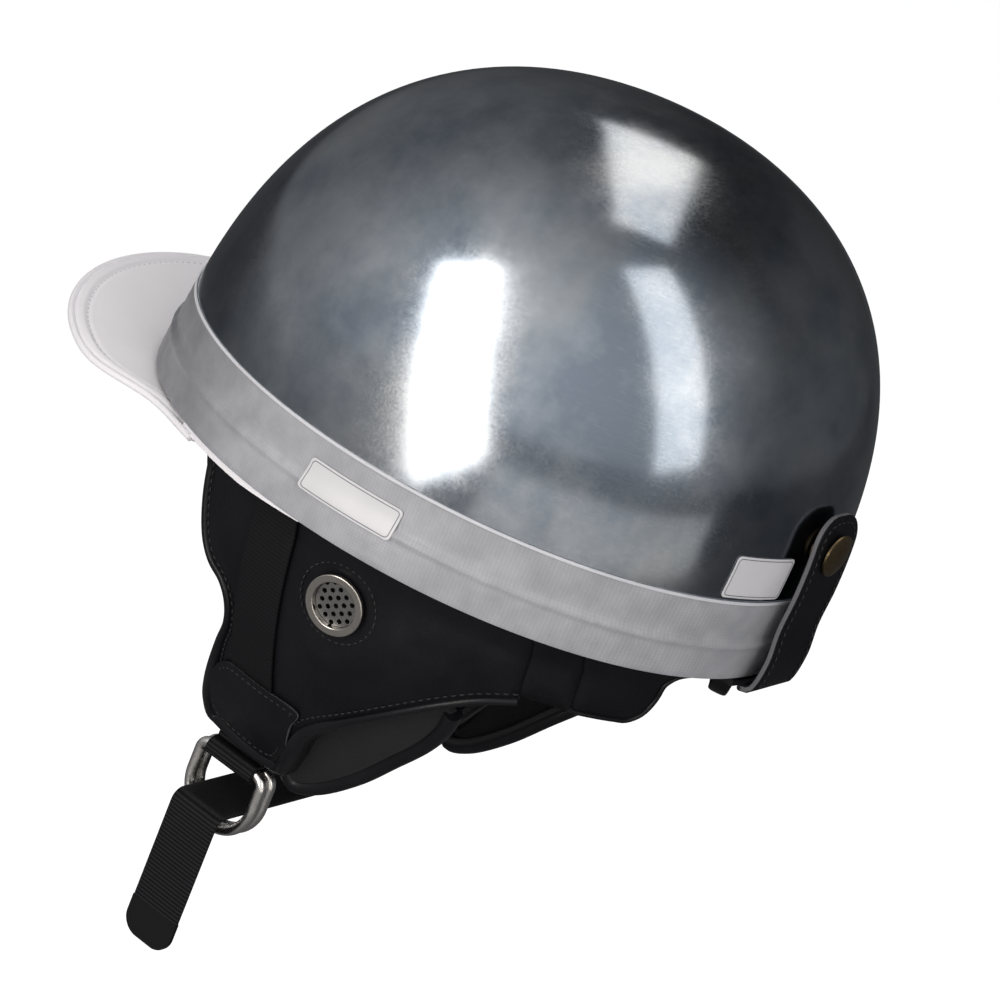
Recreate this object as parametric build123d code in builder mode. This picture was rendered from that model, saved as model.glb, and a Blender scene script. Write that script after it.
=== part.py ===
from build123d import *
import os
from math import asin, atan2, cos, degrees, pi, sin, sqrt

# Half shell motorcycle helmet, in millimetres.
# The rim plane is Z 0, the middle of the rim is the origin, +Z points at the crown,
# the peak points along -Y and the wearer's left ear is on +X.

os.makedirs("parts", exist_ok=True)

# Outer shell
half_width = 104.0
half_length = 127.0
shell_wall = 1.6
equator_height = 18.0
dome_rise = 135.0
crown_fullness_share = 0.632
lean_back_share = 0.11

# Rim trim and the cloth tape over it
fit_gap = 0.12
trim_wall = 1.1
trim_height = 13.0
trim_lip_height = 9.0
trim_floor = 1.3
tape_wall = 0.5
tape_height = 29.0

# Liner, base cover and comfort padding
liner_gap = 0.4
liner_wall = 21.0
liner_bottom = 14.2
cover_wall = 1.4
cover_setback = 8.5
pad_gap = 0.3
headband_wall = 6.0
headband_bottom = 8.0
headband_top = 62.0
crown_pad_wall = 7.0
crown_pad_low = 74.0

# Peak
peak_wall = 3.0
peak_shoulder = 19.5
peak_half_width = half_width - peak_shoulder
peak_reach = 39.0
peak_front = half_length + peak_reach
peak_belly_setback = 32.0
peak_belly = half_length - peak_belly_setback
peak_square_share = 2.2
peak_edge_steps = 12
peak_front_lift = 8.6
peak_side_drop = 1.9
peak_root_drop = 4.3
peak_root_inset = 5.0
peak_root_setback = 70.0
peak_root_back = half_length - peak_root_setback
peak_waist_setback = 44.0
peak_waist_y = half_length - peak_waist_setback
peak_flange_inset = 3.1
peak_flange_wall = 1.5
peak_flange_top = 11.5
piping_radius = 1.3

# Ear flaps, tucked up inside the rim
flap_setback = 8.0
flap_length = half_length - flap_setback
flap_drop = 118.0
flap_half_width = half_width - flap_setback
flap_curl_share = 0.4931
flap_rear_taper_share = 0.119
flap_flare = 3.0
flap_top = 12.4
flap_wall = 8.0
flap_low = 112.0
binding_width = 3.0
binding_proud = 0.7
flap_rear_setback = 35.5
flap_rear_y = flap_length - flap_rear_setback
seam_gap = 0.3
gusset_rear_setback = 24.0
gusset_rear_y = flap_length - gusset_rear_setback
gusset_setback = 0.8
gusset_wall = 6.5
gusset_drop = 30.0
neck_setback = 1.8
neck_wall = 6.0
neck_drop = 29.0
neck_notch_half_width = 25.0
neck_notch_drop = 8.0

# Ear vent
vent_y = 20.5
vent_z = -24.5
vent_flange_radius = 11.0
vent_flange_wall = 1.2
vent_bore = 8.2
vent_barrel_wall = 0.8
vent_disc_wall = 0.6
vent_recess = 1.0
vent_hole_radius = 0.9
vent_hole_pitch = 3.2
vent_holes_across = 5
vent_washer_wall = 1.0

# Straps, keeper patches and rivets
strap_width = 20.0
strap_wall = 1.5
strap_top_y = -12.6
strap_low_y = -9.0
strap_drop = 74.0
patch_wall = 1.2
rivet_radius = 2.2
rivet_head_radius = 4.2
rivet_head_wall = 0.9
rivet_z = 4.5

# Double D-rings, their hanger and the chin strap
ring_y = -20.0
ring_drop = 7.5
ring_wire = 2.1
ring_half_width = 15.0
ring_corner = 4.0
ring_side = 12.5
ring_spacing = 5.2
bar_gap = 0.3
webbing_width = 22.0
webbing_wall = 1.6
hanger_wall = 1.3
chin_depth_in_rings = 17.0
chin_exit = 8.0
fold_radius = 4.0
stub_drop = 5.0
tail_gap = 0.3
tail_length = 40.0
tip_length = 14.0

# Goggle strap at the nape
goggle_width = 26.0
goggle_wall = 2.4
goggle_standoff_low = 5.2
goggle_standoff_high = 3.1
goggle_top_z = 64.0
goggle_pivot_reach = 3.4
goggle_pivot_z = -3.6
goggle_pivot_gap = 0.3
goggle_base_inset = 3.1
goggle_base_wall = 1.8
goggle_base_top = 12.4
snap_z = 50.0
snap_cap_radius = 7.65
snap_cap_wall = 2.2
snap_socket_radius = 5.6
snap_socket_wall = 1.1
snap_stud_radius = 2.4
snap_flange_radius = 6.5
snap_flange_wall = 0.7
snap_clearance = 0.3
snap_post_radius = 1.8

# Blank stickers
label_wall = 0.25
side_label_front = -2.0
side_label_rear = 35.5
side_label_low = 9.3
side_label_high = 21.0
rear_label_inner = 12.5
rear_label_outer = 37.5
rear_label_low = 30.5
rear_label_high = 46.0

# How far cutting blocks run past what they cut, and how finely a height is searched for
overrun = 30.0
step_share = 1e-6

narrow_share = half_width / half_length
stretch_share = (lean_back_share + sqrt(lean_back_share**2 + 4)) / 2
turn_in = degrees(atan2(2, -lean_back_share)) / 2
turn_out = degrees(atan2(2, lean_back_share)) / 2


def fitted(blank):
    """Narrows a round body to the oval of a head and leans it back towards the crown."""
    turned = blank.rotate(Axis.X, -turn_in)
    oval = scale(turned, by=(narrow_share, stretch_share, 1 / stretch_share), mode=Mode.PRIVATE)
    return oval.rotate(Axis.X, turn_out)


def crown_curve(inset):
    """Corner points of the curve from the dome's widest level to its crown."""
    radius, rise = half_length - inset, dome_rise - inset
    return [
        (radius, equator_height),
        (radius, equator_height + crown_fullness_share * rise),
        (crown_fullness_share * radius, equator_height + rise),
        (0, equator_height + rise),
    ]


def wall_radius(inset, z):
    """Radius of the round dome at height z, with its wall moved in by inset."""
    if z <= equator_height:
        return half_length - inset
    low, high = 0.0, 1.0
    while high - low > step_share:
        t = (low + high) / 2
        weights = [(1 - t) ** 3, 3 * t * (1 - t) ** 2, 3 * t**2 * (1 - t), t**3]
        r, level = [sum(w * p[i] for w, p in zip(weights, crown_curve(inset))) for i in (0, 1)]
        low, high = (t, high) if level < z else (low, t)
    return r


def dome_blank(outer_inset, inner_inset, bottom):
    """A round dome between two insets, open below, from height bottom up."""
    outer = crown_curve(outer_inset)
    inner = crown_curve(inner_inset)
    with BuildPart() as blank:
        with BuildSketch(Plane.XZ):
            with BuildLine():
                Bezier(*outer)
                Line(outer[-1], inner[-1])
                Bezier(*reversed(inner))
                low_inner = (half_length - inner_inset, bottom)
                low_outer = (half_length - outer_inset, bottom)
                Polyline(inner[0], low_inner, low_outer, outer[0])
            make_face()
        revolve(axis=Axis.Z)
    return blank.part


def ring_blank(points):
    """A round band: a closed outline of (inset, height) points turned about Z."""
    with BuildPart() as blank:
        with BuildSketch(Plane.XZ):
            with BuildLine():
                Polyline(*[(half_length - inset, z) for inset, z in points], close=True)
            make_face()
        revolve(axis=Axis.Z)
    return blank.part


def block(low, high):
    """A cutting block between two opposite corners."""
    with BuildPart() as cutter:
        centre = tuple((a + b) / 2 for a, b in zip(low, high))
        with Locations(centre):
            Box(*[b - a for a, b in zip(low, high)])
    return cutter.part


def publish(builder, name):
    """Labels a finished piece and writes its STEP file."""
    builder.part.label = name
    export_step(builder.part, f"parts/{name}.step")


def mirrored_copy(builder):
    """The same piece on the other side of the head."""
    with BuildPart() as copy:
        add(mirror(builder.part, about=Plane.YZ, mode=Mode.PRIVATE))
    return copy


# Rivets through the shell's edge, and the bores for them

rivet_x = half_width * sqrt(1 - (strap_top_y / half_length) ** 2)
rivet_rear = half_length + lean_back_share * rivet_z
rivet_planes = {
    "anchor_rivet_left": Plane(origin=(rivet_x, strap_top_y, rivet_z), z_dir=(1, 0, 0)),
    "anchor_rivet_right": Plane(origin=(-rivet_x, strap_top_y, rivet_z), z_dir=(-1, 0, 0)),
    "goggle_base_rivet": Plane(origin=(0, rivet_rear, rivet_z), z_dir=(0, 1, 0)),
}
rivet_length = half_width - flap_half_width + flap_wall + fit_gap
rivet_bores = Part()
for name, plane in rivet_planes.items():
    with BuildPart() as pin:
        with BuildSketch(plane):
            Circle(rivet_radius)
        extrude(amount=-rivet_length - rivet_head_wall)
        with BuildSketch(plane.offset(-rivet_length)):
            Circle(rivet_head_radius)
        extrude(amount=-rivet_head_wall)
    publish(pin, name)
    with BuildPart() as bore:
        with BuildSketch(plane.offset(fit_gap)):
            Circle(rivet_radius + fit_gap)
        extrude(amount=-rivet_length - fit_gap)
    rivet_bores += bore.part

# Outer shell: thin metal dome with a short straight skirt

snap_y = wall_radius(0, snap_z) + lean_back_share * snap_z
shell_shape = fitted(dome_blank(0, shell_wall, 0))

with BuildPart() as outer_shell:
    add(shell_shape)
    add(rivet_bores, mode=Mode.SUBTRACT)
    with BuildSketch(Plane.XZ.offset(-snap_y - shell_wall)):
        with Locations((0, snap_z)):
            Circle(snap_post_radius + fit_gap)
    extrude(amount=3 * shell_wall, mode=Mode.SUBTRACT)
publish(outer_shell, "outer_shell")

# Rim trim: a U moulding over the shell's edge

trim_out = -fit_gap - trim_wall
trim_in = shell_wall + fit_gap + trim_wall
trim_profile = [
    (trim_out, -trim_floor),
    (trim_in, -trim_floor),
    (trim_in, trim_lip_height),
    (trim_in - trim_wall, trim_lip_height),
    (trim_in - trim_wall, -fit_gap),
    (-fit_gap, -fit_gap),
    (-fit_gap, trim_height - trim_wall),
    (trim_out, trim_height - 2 * trim_wall),
]
trim_shape = fitted(ring_blank(trim_profile))

with BuildPart() as rim_trim:
    add(trim_shape)
    add(rivet_bores, mode=Mode.SUBTRACT)
publish(rim_trim, "rim_trim")

# Cloth tape: lies on the shell, steps over the trim and ends at the trim's lower edge


def tape_side(out):
    """Points up one face of the tape, moved out by out, as (inset, height)."""
    step = trim_height - trim_wall + out / 2
    return [
        (trim_out - fit_gap - out, -trim_floor),
        (trim_out - fit_gap - out, step),
        (-fit_gap - out, step + 2 * trim_wall),
        (-fit_gap - out, equator_height),
        (half_length - wall_radius(-fit_gap - out, tape_height), tape_height),
    ]


tape_shape = fitted(ring_blank(tape_side(0) + tape_side(tape_wall)[::-1]))

with BuildPart() as rim_tape:
    add(tape_shape)
publish(rim_tape, "rim_tape")

# Foam liner, its base cover and the comfort padding

liner_out = shell_wall + liner_gap
liner_in = liner_out + liner_wall
liner_shape = fitted(dome_blank(liner_out, liner_in, liner_bottom))

with BuildPart() as foam_liner:
    add(liner_shape)
publish(foam_liner, "foam_liner")

cover_top = liner_bottom - fit_gap
cover_shape = fitted(
    ring_blank(
        [
            (cover_setback, cover_top - cover_wall),
            (liner_in, cover_top - cover_wall),
            (liner_in, cover_top),
            (cover_setback, cover_top),
        ]
    )
)

with BuildPart() as liner_cover:
    add(cover_shape)
publish(liner_cover, "liner_cover")

band_out = liner_in + pad_gap

with BuildPart() as round_headband:
    add(dome_blank(band_out, band_out + headband_wall, headband_bottom))
    split(bisect_by=Plane.XY.offset(headband_top), keep=Keep.BOTTOM)
headband_shape = fitted(round_headband.part)

with BuildPart() as headband:
    add(headband_shape)
publish(headband, "headband")

with BuildPart() as round_crown_pad:
    add(dome_blank(band_out, band_out + crown_pad_wall, headband_bottom))
    split(bisect_by=Plane.XY.offset(crown_pad_low), keep=Keep.TOP)
crown_pad_shape = fitted(round_crown_pad.part)

with BuildPart() as crown_pad:
    add(crown_pad_shape)
publish(crown_pad, "crown_pad")

# Peak: a board whose root lies flat under the rim and whose front rises in the middle


def peak_edge(grow):
    """The peak's free edge from the left waist round the front, moved out by grow."""
    wide = peak_half_width + grow
    reach = peak_front - peak_belly + grow
    points = []
    for step in range(1, peak_edge_steps):
        angle = pi * step / peak_edge_steps
        x = wide * abs(cos(angle)) ** (2 / peak_square_share) * (1 if angle < pi / 2 else -1)
        y = -peak_belly - reach * sin(angle) ** (2 / peak_square_share)
        rise_share = 1 - (x / peak_half_width) ** 2
        z = -peak_root_drop - peak_side_drop + (peak_front_lift + peak_side_drop) * rise_share
        points.append((x, y, z))
    waist = (peak_half_width + grow, -peak_waist_y, -peak_root_drop)
    root_x = half_width * sqrt(1 - (peak_root_back / half_length) ** 2) + grow
    root = (root_x, -peak_root_back, -peak_root_drop)
    left = [root, waist]
    return left + points + [(-x, y, z) for x, y, z in reversed(left)]


root_width = half_width - peak_root_inset
root_length = half_length - peak_root_inset
root_start = degrees(asin(peak_root_back / root_length))

with BuildLine() as peak_free_edge:
    Spline(*peak_edge(0))

with BuildLine(Plane.XY.offset(-peak_root_drop)) as peak_root:
    EllipticalCenterArc(
        (0, 0),
        root_width,
        root_length,
        start_angle=180 + root_start,
        arc_size=180 - 2 * root_start,
    )

root_edge = peak_root.edges()[0].reversed()
peak_sheet = Face.make_surface_from_curves(root_edge, peak_free_edge.edges()[0])
peak_board = thicken(peak_sheet, amount=peak_wall / 2, both=True, mode=Mode.PRIVATE)
flange_shape = fitted(
    ring_blank(
        [
            (peak_flange_inset, -peak_root_drop),
            (peak_root_inset + peak_flange_wall, -peak_root_drop),
            (peak_flange_inset + peak_flange_wall, -trim_floor),
            (peak_flange_inset + peak_flange_wall, peak_flange_top),
            (peak_flange_inset, peak_flange_top),
        ]
    )
)

with BuildPart() as peak:
    add(flange_shape)
    split(bisect_by=Plane.XZ.offset(peak_root_back), keep=Keep.TOP)
    add(peak_board)
publish(peak, "peak")

piping_gap = piping_radius + 2 * fit_gap

with BuildPart() as peak_piping:
    with BuildLine() as piping_path:
        Spline(*peak_edge(piping_gap)[1:-1])
    with BuildSketch(piping_path.line ^ 0):
        Circle(piping_radius)
    sweep()
publish(peak_piping, "peak_piping")

# Wall of the soft panels: an oval that draws in downwards and flares into the rim

wall_levels_share = [-0.105, 0.0, 0.1, 0.28, 0.46, 0.64, 0.8, 0.93, 1.05]


def wall_half_width(level_share):
    """Half width of the panels' outer face at a share of the flap's drop below the rim."""
    flare = flap_flare if level_share <= 0 else 0
    return flap_half_width * (1 - flap_curl_share * level_share**2) + flare


def wall_half_length(level_share):
    """Half length of the panels' outer face at a share of the flap's drop below the rim."""
    flare = flap_flare if level_share <= 0 else 0
    return flap_length * (1 - flap_rear_taper_share * level_share) + flare


def face_x(inset, y, z):
    """Distance of the panels' outer face from the middle plane, moved in by inset."""
    level_share = -z / flap_drop
    across = wall_half_width(level_share) - inset
    along = wall_half_length(level_share) - inset
    return across * sqrt(1 - (y / along) ** 2)


def wall_solid(inset):
    """The space inside the panels' outer face, moved in by inset."""
    with BuildPart() as solid:
        for level_share in wall_levels_share:
            with BuildSketch(Plane.XY.offset(-level_share * flap_drop)):
                Ellipse(wall_half_width(level_share) - inset, wall_half_length(level_share) - inset)
        loft(ruled=True)
    return solid.part


def wall_band(outer_inset, wall):
    """The wall between two insets, all the way round."""
    return wall_solid(outer_inset) - wall_solid(outer_inset + wall)


# Ear flaps: outline seen from the side, as shares of the flap's length and drop

flap_edge_shares = [
    (-0.46, 0.0),
    (-0.417, 0.21),
    (-0.371, 0.32),
    (-0.319, 0.373),
    (-0.261, 0.398),
    (-0.227, 0.441),
    (-0.218, 0.5),
    (-0.248, 0.593),
    (-0.307, 0.78),
    (-0.319, 0.85),
    (-0.303, 0.92),
    (-0.05, 0.949),
    (0.034, 0.93),
    (0.084, 0.847),
    (0.151, 0.712),
    (0.269, 0.602),
    (0.378, 0.517),
    (0.529, 0.403),
    (0.622, 0.347),
    (0.80, 0.27),
]
front_y = flap_edge_shares[0][0] * flap_length
flap_points = [(y * flap_length, -z * flap_drop) for y, z in flap_edge_shares]
flap_points = [(front_y, flap_top + overrun)] + flap_points
flap_points += [(flap_points[-1][0], flap_top + overrun)]
rear_block = block((0, flap_rear_y, -flap_drop), (half_width, half_length, flap_top + overrun))


def moved_in(points, distance):
    """A closed outline with every side moved in by distance."""
    corners = []
    for i, corner in enumerate(points):
        before, after = Vector(*points[i - 1]), Vector(*points[(i + 1) % len(points)])
        here = Vector(*corner)
        first, second = (here - before).normalized(), (after - here).normalized()
        inward = Vector(-first.Y - second.Y, first.X + second.X).normalized()
        reach = distance / inward.dot(Vector(-first.Y, first.X))
        corners.append(here + inward * reach)
    return corners


def side_face(points):
    """A closed outline drawn on the middle plane, seen from the left."""
    with BuildSketch(Plane.YZ) as face:
        with BuildLine():
            Polyline(*points, close=True)
        make_face()
    return face.sketch


flap_face = side_face(flap_points)
flap_core_face = side_face(moved_in(flap_points, binding_width))
binding_bore_face = side_face(moved_in(flap_points, binding_width - fit_gap))

flap_shape = wall_band(0, flap_wall)
binding_shape = wall_band(-binding_proud, flap_wall + 2 * binding_proud)

# Ear vent: its place and its outward direction on the flap's face

vent_x = face_x(0, vent_y, vent_z)
vent_slope_y = (face_x(0, vent_y + vent_bore, vent_z) - vent_x) / vent_bore
vent_slope_z = (face_x(0, vent_y, vent_z + vent_bore) - vent_x) / vent_bore
vent_plane = Plane(
    origin=(vent_x, vent_y, vent_z), x_dir=(0, 1, 0), z_dir=(1, -vent_slope_y, -vent_slope_z)
)
vent_lift = vent_flange_radius**2 / flap_half_width
vent_barrel_radius = vent_bore + vent_barrel_wall

with BuildPart() as left_ear_flap:
    add(flap_shape)
    extrude(flap_core_face, amount=half_width, mode=Mode.INTERSECT)
    add(rear_block, mode=Mode.SUBTRACT)
    with BuildSketch(vent_plane.offset(flap_wall)):
        Circle(vent_barrel_radius + fit_gap)
    extrude(amount=-3 * flap_wall, mode=Mode.SUBTRACT)
    add(rivet_bores, mode=Mode.SUBTRACT)
publish(left_ear_flap, "left_ear_flap")

with BuildPart() as left_binding:
    add(binding_shape)
    extrude(flap_face, amount=half_width, mode=Mode.INTERSECT)
    extrude(binding_bore_face, amount=half_width, mode=Mode.SUBTRACT)
    add(rear_block, mode=Mode.SUBTRACT)
    add(
        block((0, -half_length, -fit_gap - trim_floor), (half_width, half_length, overrun)),
        mode=Mode.SUBTRACT,
    )
publish(left_binding, "left_binding")

with BuildPart() as left_vent_flange:
    with BuildSketch(vent_plane.offset(vent_lift)):
        Circle(vent_flange_radius)
        Circle(vent_bore, mode=Mode.SUBTRACT)
    extrude(amount=vent_flange_wall)
    with BuildSketch(vent_plane.offset(vent_lift)):
        Circle(vent_barrel_radius)
        Circle(vent_bore, mode=Mode.SUBTRACT)
    extrude(amount=-flap_wall - vent_washer_wall - 2 * vent_lift)
    fillet(left_vent_flange.edges().filter_by(GeomType.CIRCLE).sort_by(Axis.X)[-2:], vent_flange_wall / 3)
publish(left_vent_flange, "left_vent_flange")

with BuildPart() as left_vent_disc:
    with BuildSketch(vent_plane.offset(vent_lift - vent_recess)):
        Circle(vent_bore - fit_gap)
        with HexLocations(vent_hole_pitch / 2, vent_holes_across, vent_holes_across):
            Circle(vent_hole_radius, mode=Mode.SUBTRACT)
    extrude(amount=-vent_disc_wall)
publish(left_vent_disc, "left_vent_disc")

washer_depth = flap_wall + 2 * vent_lift

with BuildPart() as left_vent_washer:
    with BuildSketch(vent_plane.offset(-washer_depth)):
        Circle(vent_flange_radius)
        Circle(vent_barrel_radius + fit_gap, mode=Mode.SUBTRACT)
    extrude(amount=-vent_washer_wall)
publish(left_vent_washer, "left_vent_washer")

# Upper strap: webbing down the flap's face, and the keeper patch that covers its lower end

with BuildSketch(Plane.YZ) as strap_face:
    with BuildLine():
        half = strap_width / 2
        Polyline(
            (strap_top_y - half, flap_top),
            (strap_top_y + half, flap_top),
            (strap_low_y + half, -strap_drop),
            (strap_low_y - half, -strap_drop),
            close=True,
        )
    make_face()

strap_shape = wall_band(-fit_gap - strap_wall, strap_wall)
patch_shape = wall_band(-fit_gap - patch_wall, patch_wall)

with BuildPart() as left_upper_strap:
    add(strap_shape)
    extrude(strap_face.sketch, amount=half_width + overrun, mode=Mode.INTERSECT)
    add(rivet_bores, mode=Mode.SUBTRACT)
publish(left_upper_strap, "left_upper_strap")

patch_edge_shares = [
    (-0.185, 0.64),
    (0.11, 0.64),
    (0.085, 0.70),
    (0.05, 0.83),
    (0.0, 0.90),
    (-0.12, 0.915),
    (-0.26, 0.89),
    (-0.275, 0.83),
    (-0.24, 0.70),
]

with BuildPart() as left_keeper_patch:
    add(patch_shape)
    with BuildSketch(Plane.YZ):
        with BuildLine():
            Polyline(*[(y * flap_length, -z * flap_drop) for y, z in patch_edge_shares], close=True)
        make_face()
    extrude(amount=half_width, mode=Mode.INTERSECT)
publish(left_keeper_patch, "left_keeper_patch")

# The same pieces on the right side

for left_piece, name in (
    (left_ear_flap, "right_ear_flap"),
    (left_binding, "right_binding"),
    (left_vent_flange, "right_vent_flange"),
    (left_vent_disc, "right_vent_disc"),
    (left_vent_washer, "right_vent_washer"),
    (left_upper_strap, "right_upper_strap"),
    (left_keeper_patch, "right_keeper_patch"),
):
    publish(mirrored_copy(left_piece), name)

# Gussets behind the ears, and the neck flap with its notch

gusset_shape = wall_band(gusset_setback, gusset_wall)

with BuildPart() as gusset_left:
    add(gusset_shape)
    add(
        block((0, flap_rear_y + seam_gap, -gusset_drop), (half_width, gusset_rear_y, flap_top)),
        mode=Mode.INTERSECT,
    )
publish(gusset_left, "gusset_left")
publish(mirrored_copy(gusset_left), "gusset_right")

neck_shape = wall_band(neck_setback, neck_wall)

with BuildPart() as neck_flap:
    add(neck_shape)
    add(
        block(
            (-half_width, gusset_rear_y + seam_gap, -neck_drop),
            (half_width, half_length + overrun, flap_top),
        ),
        mode=Mode.INTERSECT,
    )
    add(
        block(
            (-neck_notch_half_width, 0, -neck_drop - overrun),
            (neck_notch_half_width, half_length + overrun, -neck_notch_drop),
        ),
        mode=Mode.SUBTRACT,
    )
    add(rivet_bores, mode=Mode.SUBTRACT)
publish(neck_flap, "neck_flap")

# Double D-rings, side by side, and the webbing loop that hangs them from the left flap

stem_x = face_x(flap_wall / 2, ring_y, -flap_low)
ring_z = -flap_low - ring_drop
ring_places = {
    "d_ring_inner": stem_x - ring_spacing / 2,
    "d_ring_outer": stem_x + ring_spacing / 2,
}
for name, x in ring_places.items():
    with BuildPart() as ring:
        with BuildLine(Plane.YZ.offset(x)) as ring_path:
            left_y, right_y = ring_y - ring_half_width, ring_y + ring_half_width
            side_z = ring_z - ring_side
            arc_low = (ring_y, side_z - ring_half_width)
            Line((ring_y, ring_z), (right_y - ring_corner, ring_z))
            RadiusArc((right_y - ring_corner, ring_z), (right_y, ring_z - ring_corner), ring_corner)
            Line((right_y, ring_z - ring_corner), (right_y, side_z))
            ThreePointArc((right_y, side_z), arc_low, (left_y, side_z))
            Line((left_y, side_z), (left_y, ring_z - ring_corner))
            RadiusArc((left_y, ring_z - ring_corner), (left_y + ring_corner, ring_z), ring_corner)
            Line((left_y + ring_corner, ring_z), (ring_y, ring_z))
        with BuildSketch(Plane(origin=(x, ring_y, ring_z), z_dir=(0, 1, 0))):
            Circle(ring_wire)
        sweep()
    publish(ring, name)

with BuildPart() as d_ring_hanger:
    with BuildSketch(Plane.XZ.offset(-ring_y - webbing_width / 2)):
        with Locations((stem_x, ring_z)):
            SlotCenterToCenter(ring_spacing, 2 * (ring_wire + bar_gap + hanger_wall))
        with Locations((stem_x, (ring_z - flap_low) / 2)):
            Rectangle(2 * hanger_wall, ring_drop - 2 * fit_gap)
        with Locations((stem_x, ring_z)):
            SlotCenterToCenter(ring_spacing, 2 * (ring_wire + bar_gap), mode=Mode.SUBTRACT)
    extrude(amount=webbing_width)
publish(d_ring_hanger, "d_ring_hanger")

# Chin strap: from the right flap's tip, through both rings, to the fold outside them

chin_bends = [2 * fold_radius, 4 * fold_radius, webbing_width, fold_radius]
webbing_plane = Plane.XZ.offset(-ring_y - webbing_width / 2)
chin_z = ring_z - chin_depth_in_rings
stub_z = -flap_low - stub_drop
exit_x = stem_x + ring_spacing / 2 + chin_exit
fold_x = exit_x + fold_radius
fold_z = chin_z - fold_radius

with BuildPart() as right_strap_stub:
    with BuildSketch(webbing_plane):
        with Locations((-stem_x, (stub_z - flap_low) / 2)):
            Rectangle(2 * webbing_wall, stub_drop - 2 * fit_gap)
    extrude(amount=webbing_width)
publish(right_strap_stub, "right_strap_stub")

with BuildPart() as chin_strap:
    with BuildSketch(webbing_plane):
        with BuildLine():
            FilletPolyline(
                (-stem_x, stub_z - fit_gap),
                (-stem_x * 0.97, (stub_z * 2 + chin_z) / 3),
                (-stem_x * 0.6, (stub_z + chin_z * 5) / 6),
                (0, chin_z),
                (fold_x, chin_z),
                (fold_x, fold_z),
                radius=chin_bends,
            )
        trace(line_width=webbing_wall)
    extrude(amount=webbing_width)
publish(chin_strap, "chin_strap")

# Hanging end of the strap, which swings below the fold, and its sealed tip

tail_top = fold_z - tail_gap - webbing_wall / 2
tip_top = tail_top - tail_length

with BuildPart() as strap_tail:
    with BuildSketch(webbing_plane):
        with Locations((fold_x, (tail_top + tip_top) / 2)):
            Rectangle(webbing_wall, tail_length)
        with Locations((fold_x, tail_top)):
            Circle(webbing_wall / 2)
    extrude(amount=webbing_width)
publish(strap_tail, "strap_tail")

with BuildPart() as tail_tip:
    with BuildSketch(Plane.YZ.offset(fold_x - webbing_wall / 2)):
        with Locations((ring_y, tip_top - tip_length / 2)):
            Rectangle(webbing_width, tip_length)
    extrude(amount=webbing_wall)
    fillet(tail_tip.edges().filter_by(Axis.X).sort_by(Axis.Z)[:2], webbing_width / 3)
publish(tail_tip, "tail_tip")

# Goggle strap: a curled base inside the rim, and the strap that swings about the rim's edge

pivot_y = half_length + goggle_pivot_reach
base_end = goggle_pivot_gap + goggle_wall / 2 - goggle_pivot_reach
base_inner = goggle_base_inset + goggle_base_wall
base_low = goggle_pivot_z - goggle_wall / 2
base_high = goggle_pivot_z + goggle_wall / 2
goggle_base_shape = fitted(
    ring_blank(
        [
            (goggle_base_inset, goggle_base_top),
            (base_inner, goggle_base_top),
            (base_inner, base_low),
            (base_end, base_low),
            (base_end, base_high),
            (goggle_base_inset, base_high),
        ]
    )
)

with BuildPart() as goggle_base:
    add(goggle_base_shape)
    add(
        block(
            (-goggle_width / 2, 0, -overrun), (goggle_width / 2, half_length + overrun, overrun)
        ),
        mode=Mode.INTERSECT,
    )
    add(rivet_bores, mode=Mode.SUBTRACT)
publish(goggle_base, "goggle_base")


def strap_y(z):
    """Where the middle of the goggle strap's thickness lies at height z."""
    outer_inset = trim_out - tape_wall if z < equator_height else 0
    skin = wall_radius(outer_inset, z) + lean_back_share * z
    climb = (goggle_standoff_high - goggle_standoff_low) * z / goggle_top_z
    return skin + goggle_standoff_low + climb + goggle_wall / 2


goggle_heights_share = [0.14, 0.33, 0.55, 0.78, 1.0]
goggle_levels = [goggle_top_z * share for share in goggle_heights_share]
strap_inner_y = strap_y(snap_z) - goggle_wall / 2

with BuildPart() as goggle_strap:
    with BuildSketch(Plane.YZ.offset(-goggle_width / 2)):
        with BuildLine():
            Spline(
                (pivot_y, goggle_pivot_z),
                *[(strap_y(z), z) for z in goggle_levels],
                tangents=((1, 0), (-1, 12)),
            )
        trace(line_width=goggle_wall)
        with Locations((pivot_y, goggle_pivot_z)):
            Circle(goggle_wall / 2)
    extrude(amount=goggle_width)
    with BuildSketch(Plane.XZ.offset(-strap_inner_y - 3 * goggle_wall)):
        with Locations((0, snap_z)):
            Circle(snap_post_radius + fit_gap)
    extrude(amount=5 * goggle_wall, mode=Mode.SUBTRACT)
    with BuildSketch(Plane.XZ.offset(-half_length)):
        with Locations((0, goggle_top_z / 2 - overrun)):
            RectangleRounded(goggle_width, goggle_top_z + 2 * overrun, goggle_width * 2 / 5)
    extrude(amount=overrun, both=True, mode=Mode.INTERSECT)
publish(goggle_strap, "goggle_strap")

# Press stud: domed cap and socket on the strap, stud on the shell

strap_slope = (strap_y(snap_z - snap_cap_radius) - strap_y(snap_z + snap_cap_radius)) / 2
strap_slope /= snap_cap_radius
flange_low, flange_high = snap_z - snap_flange_radius, snap_z + snap_flange_radius
shell_slope = (wall_radius(0, flange_low) - wall_radius(0, flange_high)) / 2
shell_slope = shell_slope / snap_flange_radius - lean_back_share
cap_seat = strap_inner_y + goggle_wall + strap_slope * snap_cap_radius + 2 * fit_gap
socket_seat = strap_inner_y - strap_slope * snap_socket_radius - 5 * fit_gap
socket_front = socket_seat - snap_socket_wall
flange_seat = snap_y + shell_slope * snap_flange_radius + fit_gap
flange_front = flange_seat + snap_flange_wall
axis_at = (0, snap_z)

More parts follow.
